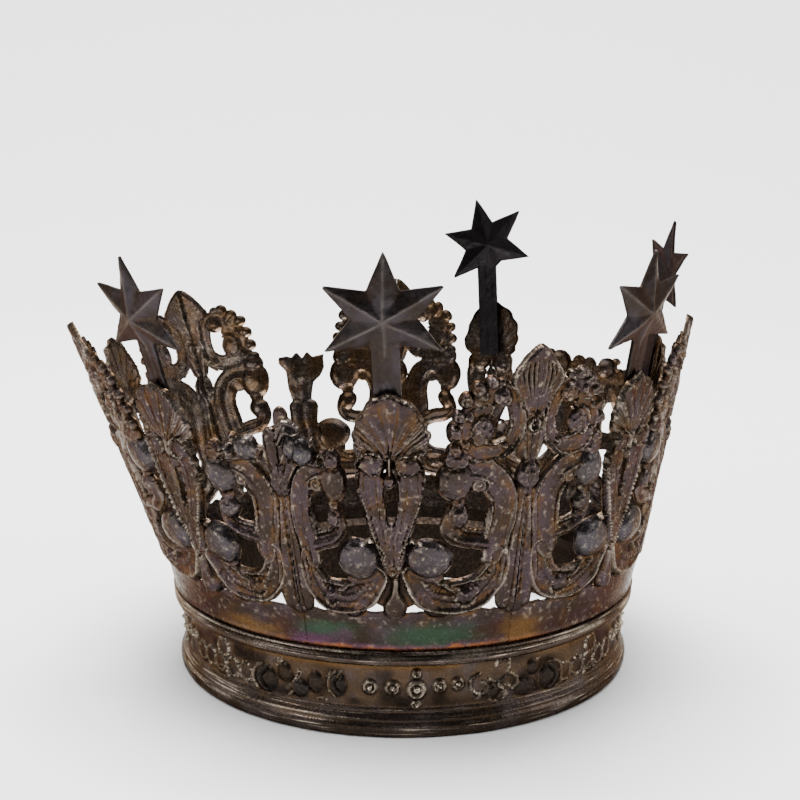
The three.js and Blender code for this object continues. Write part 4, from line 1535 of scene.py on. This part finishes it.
@dataclass
class StarOnStem:
    """A six-pointed star with a ridge along each arm, on the stem that holds it inside a sheet.

    Attributes:
        index: The number of the sheet that it stands on.
        name: The name of its side of the crown.
        roll: How far its stem leans in its own plane, in degrees.
        spin: How far the star is turned on its stem, in degrees.
        lift: How much higher than usual it sits, in mm.
        tarnish: How far it is darkened towards black, up to one.
        radius: The length of its arms.
        notch: How far its inner corners are from its middle.
        edge: Its thickness at the edge.
        rise: How much thicker its middle is.
        stem_width: Its stem's width.
        stem_thickness: The stem's thickness.
        stem_length: Its length to the star's middle.
        foot: How far up the sheet it starts.
        gap: How far it is from the sheet.
        low_arm: The share of its length that the arm over the stem has.
        cell: The distance between two points of the grid, in mm.
    """

    index: int
    name: str
    roll: float = 0.0
    spin: float = 0.0
    lift: float = 0.0
    tarnish: float = 0.0
    radius: float = 18.6
    notch: float = 8.8
    edge: float = 0.8
    rise: float = 3.0
    stem_width: float = 7.4
    stem_thickness: float = 1.1
    stem_length: float = 39.0
    foot: float = 51.5
    gap: float = 0.6
    low_arm: float = 0.56
    cell: float = 0.46

    def worked(self) -> Sheet:
        """Draws the flat star and its stem.

        Returns:
            Its relief and outline, with the stem's foot at the origin.
        """
        across = np.arange(-self.radius, self.radius + self.cell, self.cell)
        length = self.stem_length + self.lift
        up = np.arange(-1.5, length + self.radius + 1.0, self.cell)
        x, y = np.meshgrid(across, up)
        seed = 200 + 7 * self.index
        sheet = Sheet(x, y, ground=0.0)
        wx = x + 0.22 * mottle(x, y, 7.0, seed)
        wy = y - length + 0.22 * mottle(x, y, 7.0, seed + 1)
        away, angle = np.hypot(wx, wy), np.arctan2(wx, wy) - math.radians(self.spin)
        arms = 6
        arm = np.round(angle / (TURN / arms))
        off = np.abs(angle - arm * TURN / arms)
        lengths = np.random.default_rng(seed).uniform(0.97, 1.0, arms)
        lengths[arms // 2] = self.low_arm
        tip = self.radius * lengths[arm.astype(int) % arms]
        half = math.pi / arms
        valley_x, valley_y = self.notch * math.sin(half), self.notch * math.cos(half)
        limit = tip * valley_x / (valley_x * np.cos(off) + (tip - valley_y) * np.sin(off))
        inside = (limit - away) * 0.42
        share = np.clip(1 - away / limit, 0, 1)
        sheet.solid = np.maximum(sheet.solid, inside)
        star = self.edge + self.rise * share
        sheet.height = np.where(inside > -0.5, star, self.edge)
        ridge_line = bump(away * np.sin(off), 0.0, 0.35) * (away < limit)
        sheet.bright = 0.4 * ridge_line * (inside > 0)
        stem = np.minimum(self.stem_width / 2 - np.abs(x), np.minimum(y + 0.01, length - y))
        stem_top = self.stem_thickness + 0.12 * np.cos(x * 2.4)
        take = (stem > 0) & (stem_top > np.where(inside > 0, sheet.height, -1))
        sheet.height = np.where(take, stem_top, sheet.height)
        sheet.height = np.where((stem > -0.5) & (inside < 0) & ~take, self.stem_thickness, sheet.height)
        sheet.solid = np.maximum(sheet.solid, stem)
        sheet.height += 0.13 * mottle(x, y, 1.9, seed + 2)
        return sheet

    def build(self, form: CrownForm) -> bpy.types.Object:
        """Makes the star and stands it against the back of its sheet.

        Args:
            form: The crown's form.

        Returns:
            The piece.
        """
        sheet = self.worked()
        cut = Cutout.of(sheet.solid)
        across, up = cut.sampled(sheet.x), cut.sampled(sheet.y)
        edge = np.clip(sheet.solid / 0.25, 0, 1)
        outer = cut.sampled(sheet.height - 0.22 * (1 - np.sqrt(edge)))
        inner = 0.05 + 0.05 * mottle(across, up, 3.0, 9)
        inner += 0.85 * np.clip(cut.sampled(sheet.height) - self.edge - 0.35, 0, None)
        turn = math.radians(self.roll)
        azimuth = math.radians(form.middles[self.index])
        depth = -self.gap - self.stem_thickness
        foot = form.on_crown(azimuth, self.foot, depth)
        rise = Vector(form.on_crown(azimuth, form.slant, depth) - foot).normalized()
        inward = Vector((-math.sin(azimuth), math.cos(azimuth), 0.0))
        right = inward.cross(rise).normalized()
        inward = rise.cross(right)
        px = across * math.cos(turn) + up * math.sin(turn)
        pz = up * math.cos(turn) - across * math.sin(turn)
        axes = np.array([right, rise, inward]) * MM
        points = [foot + np.stack([px, pz, -out], axis=1) @ axes for out in (outer, inner)]
        wear_and_painted_light = cut.sampled(sheet.wear(self.cell))
        inside = wear_and_painted_light * np.array([0.25, 0.5, 0.5])
        # Darkens the whole star towards black, most for the stars at the back.
        patina = np.tile((*SOOT, self.tarnish), (2 * len(across), 1))
        return new_piece(f"starburst_{self.name}", np.vstack(points), cut.shell(),
                         np.vstack([wear_and_painted_light, inside]), patina, 30.0)


# Fine raised lines of the frieze: points as azimuth in degrees and height in mm, width in mm, brightness
FRIEZE_LINES = (
    (((-26.9, 13.6), (-26.0, 15.8), (-25.3, 17.8)), 0.9, 0.9),
    (((-26.1, 13.4), (-25.2, 15.6), (-24.6, 17.4)), 0.7, 0.6),
    (((-31.2, 17.8), (-30.8, 20.2), (-30.4, 18.4), (-29.9, 20.6)), 0.7, 0.9),
    (((-28.8, 11.4), (-27.4, 12.8), (-26.6, 11.0), (-27.8, 9.6)), 0.9, 0.5),
    (((-20.6, 9.6), (-19.8, 10.4), (-18.4, 9.8)), 0.7, 0.7),
    (((-15.8, 17.0), (-15.2, 18.4), (-14.6, 19.6)), 0.6, 0.8),
    (((17.4, 18.0), (15.4, 16.4), (15.6, 13.2), (18.0, 11.6), (19.6, 13.6), (18.2, 15.4)), 1.1, 0.5),
    (((19.8, 16.0), (21.0, 14.6), (19.0, 13.2)), 0.8, 0.6),
    (((16.0, 11.2), (17.2, 10.6), (17.8, 11.6)), 0.9, 0.9),
    (((21.8, 19.6), (22.2, 21.4), (24.6, 21.4), (25.2, 19.2), (24.6, 17.4)), 0.9, 0.7),
    (((22.0, 14.0), (25.2, 16.6), (27.2, 14.4), (26.0, 11.8), (24.4, 13.6)), 1.0, 0.8),
    (((22.0, 14.0), (23.6, 11.6), (24.2, 9.4), (22.0, 8.9), (20.6, 8.7), (19.8, 10.6)), 1.0, 0.8),
    (((31.2, 18.4), (33.4, 19.4)), 0.8, 0.7), (((28.4, 10.0), (30.0, 9.2), (32.0, 10.4)), 0.8, 0.5),
)

# Large and small bosses of the frieze's front: azimuth in degrees, height, half-width and half-height in mm
LARGE_BOSSES = ((-34.5, 13.0, 4.6, 4.6), (-15.5, 15.2, 2.9, 4.0), (36.8, 13.0, 4.6, 4.7))
SMALL_BOSSES = ((-25.0, 12.4, 3.0, 3.0), (-29.0, 16.4, 2.6, 3.2), (-21.0, 15.0, 2.6, 3.6),
                (29.6, 12.0, 3.4, 3.4), (31.6, 17.4, 2.6, 2.6), (20.6, 12.0, 2.4, 2.4))
# Cups of a clover chain and pearls of a pearl row: azimuth from its middle, height, and the pearls' radius
CHAIN_CUPS = ((-9.4, 12.6), (-4.7, 12.8), (0, 12.6), (4.8, 12.6), (9.6, 12.8), (1.0, 17.8), (0.6, 8.9))
PEARL_ROW = ((-10.7, 15.1, 2.6), (-5.5, 15.0, 2.6), (0, 14.4, 3.4), (0, 19.4, 1.7), (-0.1, 9.8, 1.7),
             (5.3, 15.3, 2.4), (9.6, 15.6, 2.3))
# Painted highlights along the ridges of the mouldings: height and half-height in mm, brightness
HIGHLIGHTED_RIDGES = ((25.4, 0.45, 0.8), (26.9, 0.3, 0.8), (23.2, 0.35, 0.4), (5.3, 0.25, 0.8), (3.6, 0.5, 0.5))


@dataclass
class Band:
    """The ring that the crown stands on, with its mouldings and frieze. Lengths are in mm.

    Attributes:
        columns: The number of grid points round it.
        step: The distance between two of them up its outside.
        frieze_foot: Where the frieze's relief starts.
        frieze_top: Where it ends.
        cup: The radius of the open rings.
        gilt_height: The height of its golden stain.
        soot_from: The strength from which soot shows.
    """

    columns: int = 1000
    step: float = 0.42
    frieze_foot: float = 8.2
    frieze_top: float = 22.6
    cup: float = 2.75
    gilt_height: float = 21.7
    soot_from: float = 0.05

    def roll(self, radius: float, level: float, deep: float, half: float) -> list[tuple[float, float]]:
        """Draws a half-round moulding from its foot up.

        Args:
            radius: The radius of its middle.
            level: Its middle's height.
            deep: How far it stands out.
            half: Half its height.

        Returns:
            Radius and height of each point.
        """
        angles = [-math.pi / 2 + math.pi * k / 10 for k in range(1, 10)]
        return [(radius + deep * math.cos(angle), level + half * math.sin(angle)) for angle in angles]

    def profile(self, form: CrownForm) -> Array:
        """Draws the outside of the ring from its foot up.

        Args:
            form: The crown's form, for its radii.

        Returns:
            Radius and height of each point.
        """
        base, sunk, top = form.band_radius, form.frieze_radius, form.top_radius
        points = np.array([
            (base - 1.4, 0.0), *self.roll(base - 1.1, 2.4, 1.1, 2.3),
            (base - 1.0, 4.9), (base - 0.75, 5.4), (base - 1.1, 5.9), (base - 1.3, 6.6),
            (sunk + 0.35, 7.6), (sunk + 0.6, 8.0), (sunk + 0.1, 8.5), (sunk, 9.0), (sunk, 21.6),
            (sunk + 0.1, 22.0), (sunk + 0.7, 22.2), (top - 1.4, 22.6), *self.roll(top - 1.3, 24.3, 1.3, 1.6),
            (top - 0.9, 26.0), (top - 0.1, 26.3), (top + 0.25, 26.8), (top - 0.1, 27.3),
            (top - 0.6, form.band_top),
        ])
        run = np.concatenate([[0], np.cumsum(np.hypot(*np.diff(points, axis=0).T))])
        even = np.linspace(0, run[-1], int(run[-1] / self.step))
        return np.stack([np.interp(even, run, points[:, 0]), np.interp(even, run, points[:, 1])], axis=1)

    def frieze(self, form: CrownForm, azimuth: Array, height: Array) -> Sheet:
        """Chases the ornament of the frieze.

        Args:
            form: The crown's form, for the frieze's radius and the seams.
            azimuth: The grid's angles in degrees.
            height: The grid's heights.

        Returns:
            The relief, of which the outline isn't used.
        """
        scale = math.radians(1) * form.frieze_radius
        sheet = Sheet(azimuth * scale, height, ground=0.0)
        pen = Pen(sheet, sheet.x, height, np.ones(azimuth.shape, dtype=bool))
        self.front_motifs(pen, scale)
        for middle in form.middles[2:6]:
            self.chain(pen, (middle + 180) % 360 - 180, scale)
        for seam in form.seams[1:6]:
            self.pearls(pen, (seam + 180) % 360 - 180, scale)
        return sheet

    def chain(self, pen: Pen, centre: float, scale: float) -> None:
        """Chases a clover chain of cups.

        Args:
            pen: A pen that draws along the frieze, in mm.
            centre: The azimuth of its middle, in degrees.
            scale: Millimetres for each degree.
        """
        for place, level in CHAIN_CUPS:
            x = (centre + place) * scale
            pen.boss(x, level, self.cup, self.cup, 0.4, 0.2)
            pen.strap(oval(x, level, self.cup, self.cup, 9), (1.0, 1.0), wire(0.85), (1.0, 1.0))

    def pearls(self, pen: Pen, centre: float, scale: float) -> None:
        """Chases a row of ringed pearls with a larger one in its middle.

        Args:
            pen: A pen that draws along the frieze, in mm.
            centre: The azimuth of its middle, in degrees.
            scale: Millimetres for each degree.
        """
        for place, level, radius in PEARL_ROW:
            x = (centre + place) * scale
            pen.boss(x, level, radius, radius, 0.7, 0.3, 0.1)
            pen.rings(x, level, radius * 0.95, 1.0, radius * 0.64)
            pen.boss(x + 0.1, level, radius * 0.4, radius * 0.4, 1.5)
            pen.beads([(x, level), (x + 0.3, level)], radius * 0.34, 1, 0.3, 0.8)

    def front_motifs(self, pen: Pen, scale: float) -> None:
        """Chases the motifs that the front shows.

        Args:
            pen: A pen that draws along the frieze, in mm.
            scale: Millimetres for each degree.
        """
        self.chain(pen, -50.6, scale)
        self.chain(pen, 51.2, scale)
        self.pearls(pen, 2.7, scale)
        for place, level, wide, high in LARGE_BOSSES:
            x, out = place * scale, math.copysign(wide, place)
            pen.boss(x, level, wide, high, 1.2, 0.5, 0.1)
            outside = ((0.3, 1.0), (0.95, 0.5), (0.95, -0.5), (0.3, -1.0))
            pen.strap([(x + across * out, level + up * high) for across, up in outside],
                      (0.8, 1.0, 1.0, 0.8), wire(1.2), (0.8, 0.8))
            inside = ((-0.2, 0.7), (0.35, 0.0), (-0.2, -0.7))
            pen.groove([(x + across * out, level + up * high) for across, up in inside], 1.0, 0.8)
        for place, level, wide, high in SMALL_BOSSES:
            pen.boss(place * scale, level, wide, high, 1.0, 0.4, 0.15)
        for line, wide, shown in FRIEZE_LINES:
            points = [(x * scale, y) for x, y in line]
            pen.strap(points, (wide * 0.8, wide, wide * 0.8), wire(1.0), (shown, shown))

    def inner(self, form: CrownForm) -> Array:
        """Draws the inside of the ring from its top down.

        Args:
            form: The crown's form, for its radii.

        Returns:
            Radius and height of each point.
        """
        wall = form.frieze_radius - form.wall
        return np.array([(form.top_radius - 2.2, form.band_top), (form.top_radius - 2.4, 23.4),
                         (wall, 21.4), (wall, 14.0), (wall, 7.0), (wall, 0.0)])

    def surface(self, chased: Sheet, azimuth: Array, height: Array, out: Array,
                middle: Array) -> tuple[Array, Array]:
        """Finds how the outside is worn and stained, with painted highlights on the mouldings and painted
        shade in the frieze.

        Args:
            chased: The frieze's relief.
            azimuth: The grid's angles in degrees.
            height: The grid's heights.
            out: The grid's distances from the axis.
            middle: Where the frieze is, up to one.

        Returns:
            Brightness, recess and blueness at each grid point, and the stains' colour and strength.
        """
        around = azimuth + ROUND_AT
        sheet = Sheet(azimuth, height, ground=0.0)
        sheet.solid[:] = 1.0
        sheet.height = out
        sheet.bright = chased.bright * middle
        # Painted highlights along the mouldings' ridges, broken into patches.
        for level, thick, power in HIGHLIGHTED_RIDGES:
            patch = np.clip(0.2 + 1.1 * value_noise(around, height * 3, 9.0, 320 + int(level)), 0, 1)
            sheet.bright += power * patch * bump(height, level, thick)
        wear_and_painted_light = sheet.wear(self.step)
        # The ground between the motifs, and the whole sunk frieze a little, get the recess's dark tarnish and
        # painted shade, and the bosses are sooty where they aren't rubbed
        bare = np.clip(1 - chased.height / 0.35, 0, 1) * middle
        ground = 0.4 + 0.35 * value_noise(around, height + FORM_AT, 4.0, 340)
        wear_and_painted_light[..., 1] = np.maximum(wear_and_painted_light[..., 1], np.maximum(ground * bare, 0.3 * middle))
        soot = np.clip(1.6 * chased.blue, 0, 0.75) * middle * (1 - np.clip(1.5 * chased.bright, 0, 1))
        patch = np.clip(0.5 + value_noise(around, height, 11.0, 331), 0, 1)
        gilt = 0.75 * patch * bump(height, self.gilt_height, 1.3)
        sooty = soot > self.soot_from
        colour = np.where(sooty[..., None], SOOT[0], GOLD)
        return wear_and_painted_light, np.dstack([colour, np.where(sooty, soot, gilt)])

    def build(self, form: CrownForm) -> bpy.types.Object:
        """Makes the ring as one closed mesh.

        Args:
            form: The crown's form.

        Returns:
            The piece.
        """
        outline = self.profile(form)
        angles = np.arange(self.columns) / self.columns * 360.0 - 180.0
        azimuth, height = np.meshgrid(angles, outline[:, 1])
        chased = self.frieze(form, azimuth, height)
        middle = smooth(height, self.frieze_foot + 0.3, self.frieze_foot + 1.2)
        middle = middle * smooth(-height, -self.frieze_top + 0.2, -self.frieze_top + 1.0)
        uneven = 0.07 * value_noise(azimuth + ROUND_AT, height + FORM_AT, 3.0, 301)
        out = outline[:, :1] + chased.height * middle + uneven
        wear_and_painted_light, stains = self.surface(chased, azimuth, height, out, middle)

        # The inside is a few plain, dark rows of the same grid
        inner = self.inner(form)
        row = np.ones((1, self.columns))
        radius, height = np.vstack([out, inner[:, :1] * row]), np.vstack([height, inner[:, 1:] * row])
        turned = np.radians(angles)
        points = np.stack([radius * np.sin(turned) + form.axis[0],
                           -radius * np.cos(turned) + form.axis[1], height], axis=-1) * MM
        # The inside rows get the full recess darkness: dark tarnish with painted shade.
        wear_and_painted_light = np.vstack([wear_and_painted_light, np.tile((0.0, 1.0, 0.0), (len(inner), self.columns, 1))])
        stains = np.vstack([stains, np.tile((*GOLD, 0.0), (len(inner), self.columns, 1))])
        number = np.arange(radius.size).reshape(radius.shape)
        after = np.roll(number, -1, axis=1)
        corners = [number, after, np.roll(after, -1, axis=0), np.roll(number, -1, axis=0)]
        faces = np.stack(corners, axis=-1).reshape(-1, 4)
        return new_piece("moulded_band", points.reshape(-1, 3), [faces], wear_and_painted_light.reshape(-1, 3),
                         stains.reshape(-1, 4), 40.0)


# The middle of the crown, and the lamps: name, place and width in metres, power in watts, what it looks at
CROWN_MIDDLE = (0.0, 0.0, 0.07)
LAMPS = (
    ("overhead", (-0.1, 0.05, 1.45), 1.1, 69.0, CROWN_MIDDLE),
    ("left", (-1.2, -0.75, 0.85), 0.6, 8.0, CROWN_MIDDLE),
    ("right", (1.25, -0.35, 0.7), 0.6, 7.0, CROWN_MIDDLE),
    ("background", (0.0, 0.5, 1.9), 1.2, 72.0, (0.0, 2.0, 0.5)),
)


@dataclass
class Studio:
    """A plain pale floor that rises round its back half, soft lights and the camera.

    Attributes:
        floor_radius: The level floor's radius, in metres.
        wall_radius: The radius of the rim that it rises to.
        wall_height: The height of that rim.
        open_share: The share of it, at the front, that stays open.
        sides: The number of sides.
        rises: The number of steps up.
        paint: The floor's colour.
        matt: Its roughness.
        sky: The colour of the light from all round.
        sky_power: Its strength.
        focal: The camera's focal length, in pixels.
        picture: The picture's width, in pixels.
        sensor: The sensor's width, in mm.
        place: The camera's place from the crown's axis, in mm.
        pitch: How far it looks down, in degrees.
        yaw: How far it is turned to the left, in degrees.
    """

    floor_radius: float = 0.9
    wall_radius: float = 2.2
    wall_height: float = 1.5
    open_share: float = 0.5
    sides: int = 96
    rises: int = 12
    paint: Colour = (0.86, 0.86, 0.86)
    matt: float = 0.85
    sky: Colour = (0.95, 0.97, 1.0)
    sky_power: float = 0.25
    focal: float = 1417.54
    picture: float = 800.0
    sensor: float = 36.0
    place: tuple[float, float, float] = (-3.25, -458.95, 180.21)
    pitch: float = 11.68
    yaw: float = -0.28

    def floor(self) -> None:
        """Makes the floor, a wide dish that hides the horizon."""
        rows = [(0.0, 0.0), (self.floor_radius, 0.0)]
        for k in range(1, self.rises + 1):
            angle = math.pi / 2 * k / self.rises
            rows.append((self.floor_radius + (self.wall_radius - self.floor_radius) * math.sin(angle),
                         self.wall_height * (1 - math.cos(angle))))
        sides, front = self.sides, 3 * self.sides / 4
        points, faces = [(0.0, 0.0, 0.0)], []
        for radius, height in rows[1:]:
            for k in range(sides):
                angle = TURN * k / sides
                points.append((radius * math.cos(angle), radius * math.sin(angle), height))
        for k in range(sides):
            faces.append((0, 1 + k, 1 + (k + 1) % sides))
            for ring in range(len(rows) - 2):
                if ring and abs(k - front) < sides * self.open_share / 2:
                    continue
                low, high = 1 + ring * sides, 1 + (ring + 1) * sides
                faces.append((low + k, high + k, high + (k + 1) % sides, low + (k + 1) % sides))
        mesh = bpy.data.meshes.new("floor")
        used = sorted({corner for face in faces for corner in face})
        number = {corner: place for place, corner in enumerate(used)}
        mesh.from_pydata([points[corner] for corner in used], [],
                         [tuple(number[corner] for corner in face) for face in faces])
        for polygon in mesh.polygons:
            polygon.use_smooth = True
        dish = bpy.data.objects.new("floor", mesh)
        bpy.context.scene.collection.objects.link(dish)
        paint = bpy.data.materials.new("pale_floor")
        paint.use_nodes = True
        shader = paint.node_tree.nodes["Principled BSDF"]
        shader.inputs["Base Color"].default_value = (*self.paint, 1.0)
        shader.inputs["Roughness"].default_value = self.matt
        mesh.materials.append(paint)

    def lamp(self, name: str, place: tuple[float, float, float], size: float, power: float,
             target: tuple[float, float, float]) -> None:
        """Hangs a soft square lamp.

        Args:
            name: The lamp's name.
            place: Where it hangs, in metres.
            size: Its width.
            power: Its power in watts.
            target: What it looks at.
        """
        data = bpy.data.lights.new(name, "AREA")
        data.size = size
        data.energy = power
        lamp = bpy.data.objects.new(name, data)
        lamp.location = place
        lamp.rotation_euler = (Vector(target) - Vector(place)).to_track_quat("-Z", "Y").to_euler()
        bpy.context.scene.collection.objects.link(lamp)

    def camera(self, form: CrownForm) -> None:
        """Sets up the camera of the photograph.

        Args:
            form: The crown's form, for its axis.
        """
        data = bpy.data.cameras.new("camera")
        data.sensor_width = self.sensor
        data.lens = self.focal / self.picture * data.sensor_width
        camera = bpy.data.objects.new("camera", data)
        x, y, z = self.place
        camera.location = ((x + form.axis[0]) * MM, (y + form.axis[1]) * MM, z * MM)
        camera.rotation_euler = Euler((math.radians(90 - self.pitch), 0.0, math.radians(self.yaw)))
        bpy.context.scene.collection.objects.link(camera)
        bpy.context.scene.camera = camera

    def build(self, form: CrownForm) -> None:
        """Sets up the floor, the light and the camera.

        Args:
            form: The crown's form, for the camera's place.
        """
        self.floor()
        for lamp in LAMPS:
            self.lamp(*lamp)
        world = bpy.data.worlds.new("studio")
        world.use_nodes = True
        light = world.node_tree.nodes["Background"]
        light.inputs["Color"].default_value = (*self.sky, 1.0)
        light.inputs["Strength"].default_value = self.sky_power
        bpy.context.scene.world = world
        self.camera(form)


def dress(piece: bpy.types.Object, node: str, material: bpy.types.Material) -> None:
    """Gives a piece its material and its place in the model.

    Args:
        piece: The piece.
        node: The solid that it stands for.
        material: The material that it is given.
    """
    piece.data.materials.append(material)
    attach(piece, "root")
    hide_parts(node)
    LOG.info("%s stands for %s, %d faces", piece.name, node, len(piece.data.polygons))


def main() -> None:
    """Builds the crown and its studio."""
    logging.basicConfig(level=logging.INFO, format="%(name)s: %(message)s")
    low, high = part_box("base_band")
    form = CrownForm(axis=((low[0] + high[0]) / 2 / MM, (low[1] + high[1]) / 2 / MM))
    Studio().build(form)
    # The band's silver gets long level lines of painted highlight.
    band_silver = Silver("band_silver", ground=(0.030, 0.021, 0.016), cloud=(0.045, 0.034, 0.031),
                         brown=(0.054, 0.033, 0.018), highlight_streaks=0.7).made()
    # The gallery's silver gets small painted glints.
    gallery_silver = Silver("gallery_silver", glints=0.3).made()
    star_silver = Silver("star_silver", ground=(0.019, 0.0145, 0.0125), cloud=(0.029, 0.024, 0.026),
                         brown=(0.030, 0.019, 0.013), worn=(0.13, 0.115, 0.10), shine=0.34).made()
    dress(Band().build(form), "base_band", band_silver)
    whole, broken, gone = Crest.WHOLE, Crest.BROKEN, Crest.GONE
    sheets = (
        GallerySheet(0, "front", (broken, whole), blue=0.1, cell=0.4),
        GallerySheet(1, "right", (whole, whole), blue=0.8, cell=0.42),
        GallerySheet(2, "back_right", (whole, gone), blue=0.3),
        GallerySheet(3, "back", (gone, whole), growth=4.0),
        GallerySheet(4, "back_left", (whole, whole), has_shell=False),
        GallerySheet(5, "left", (whole, whole), blue=0.4),
        GallerySheet(6, "front_left", (whole, broken), blue=0.6, cell=0.42),
    )
    for sheet in sheets:
        dress(sheet.build(form), f"segment_{sheet.name}", gallery_silver)
    stars = (StarOnStem(0, "front", -1.5, 1.5, 2.0), StarOnStem(1, "right", lift=-1.5),
             StarOnStem(2, "back_right", spin=-4.0, tarnish=0.4),
             StarOnStem(3, "back", 6.0, 11.0, 3.5, tarnish=0.75),
             StarOnStem(6, "front_left", 0.5, -1.0))
    for star in stars:
        dress(star.build(form), f"star_{star.name}", star_silver)


if __name__ == "__main__":
    main()
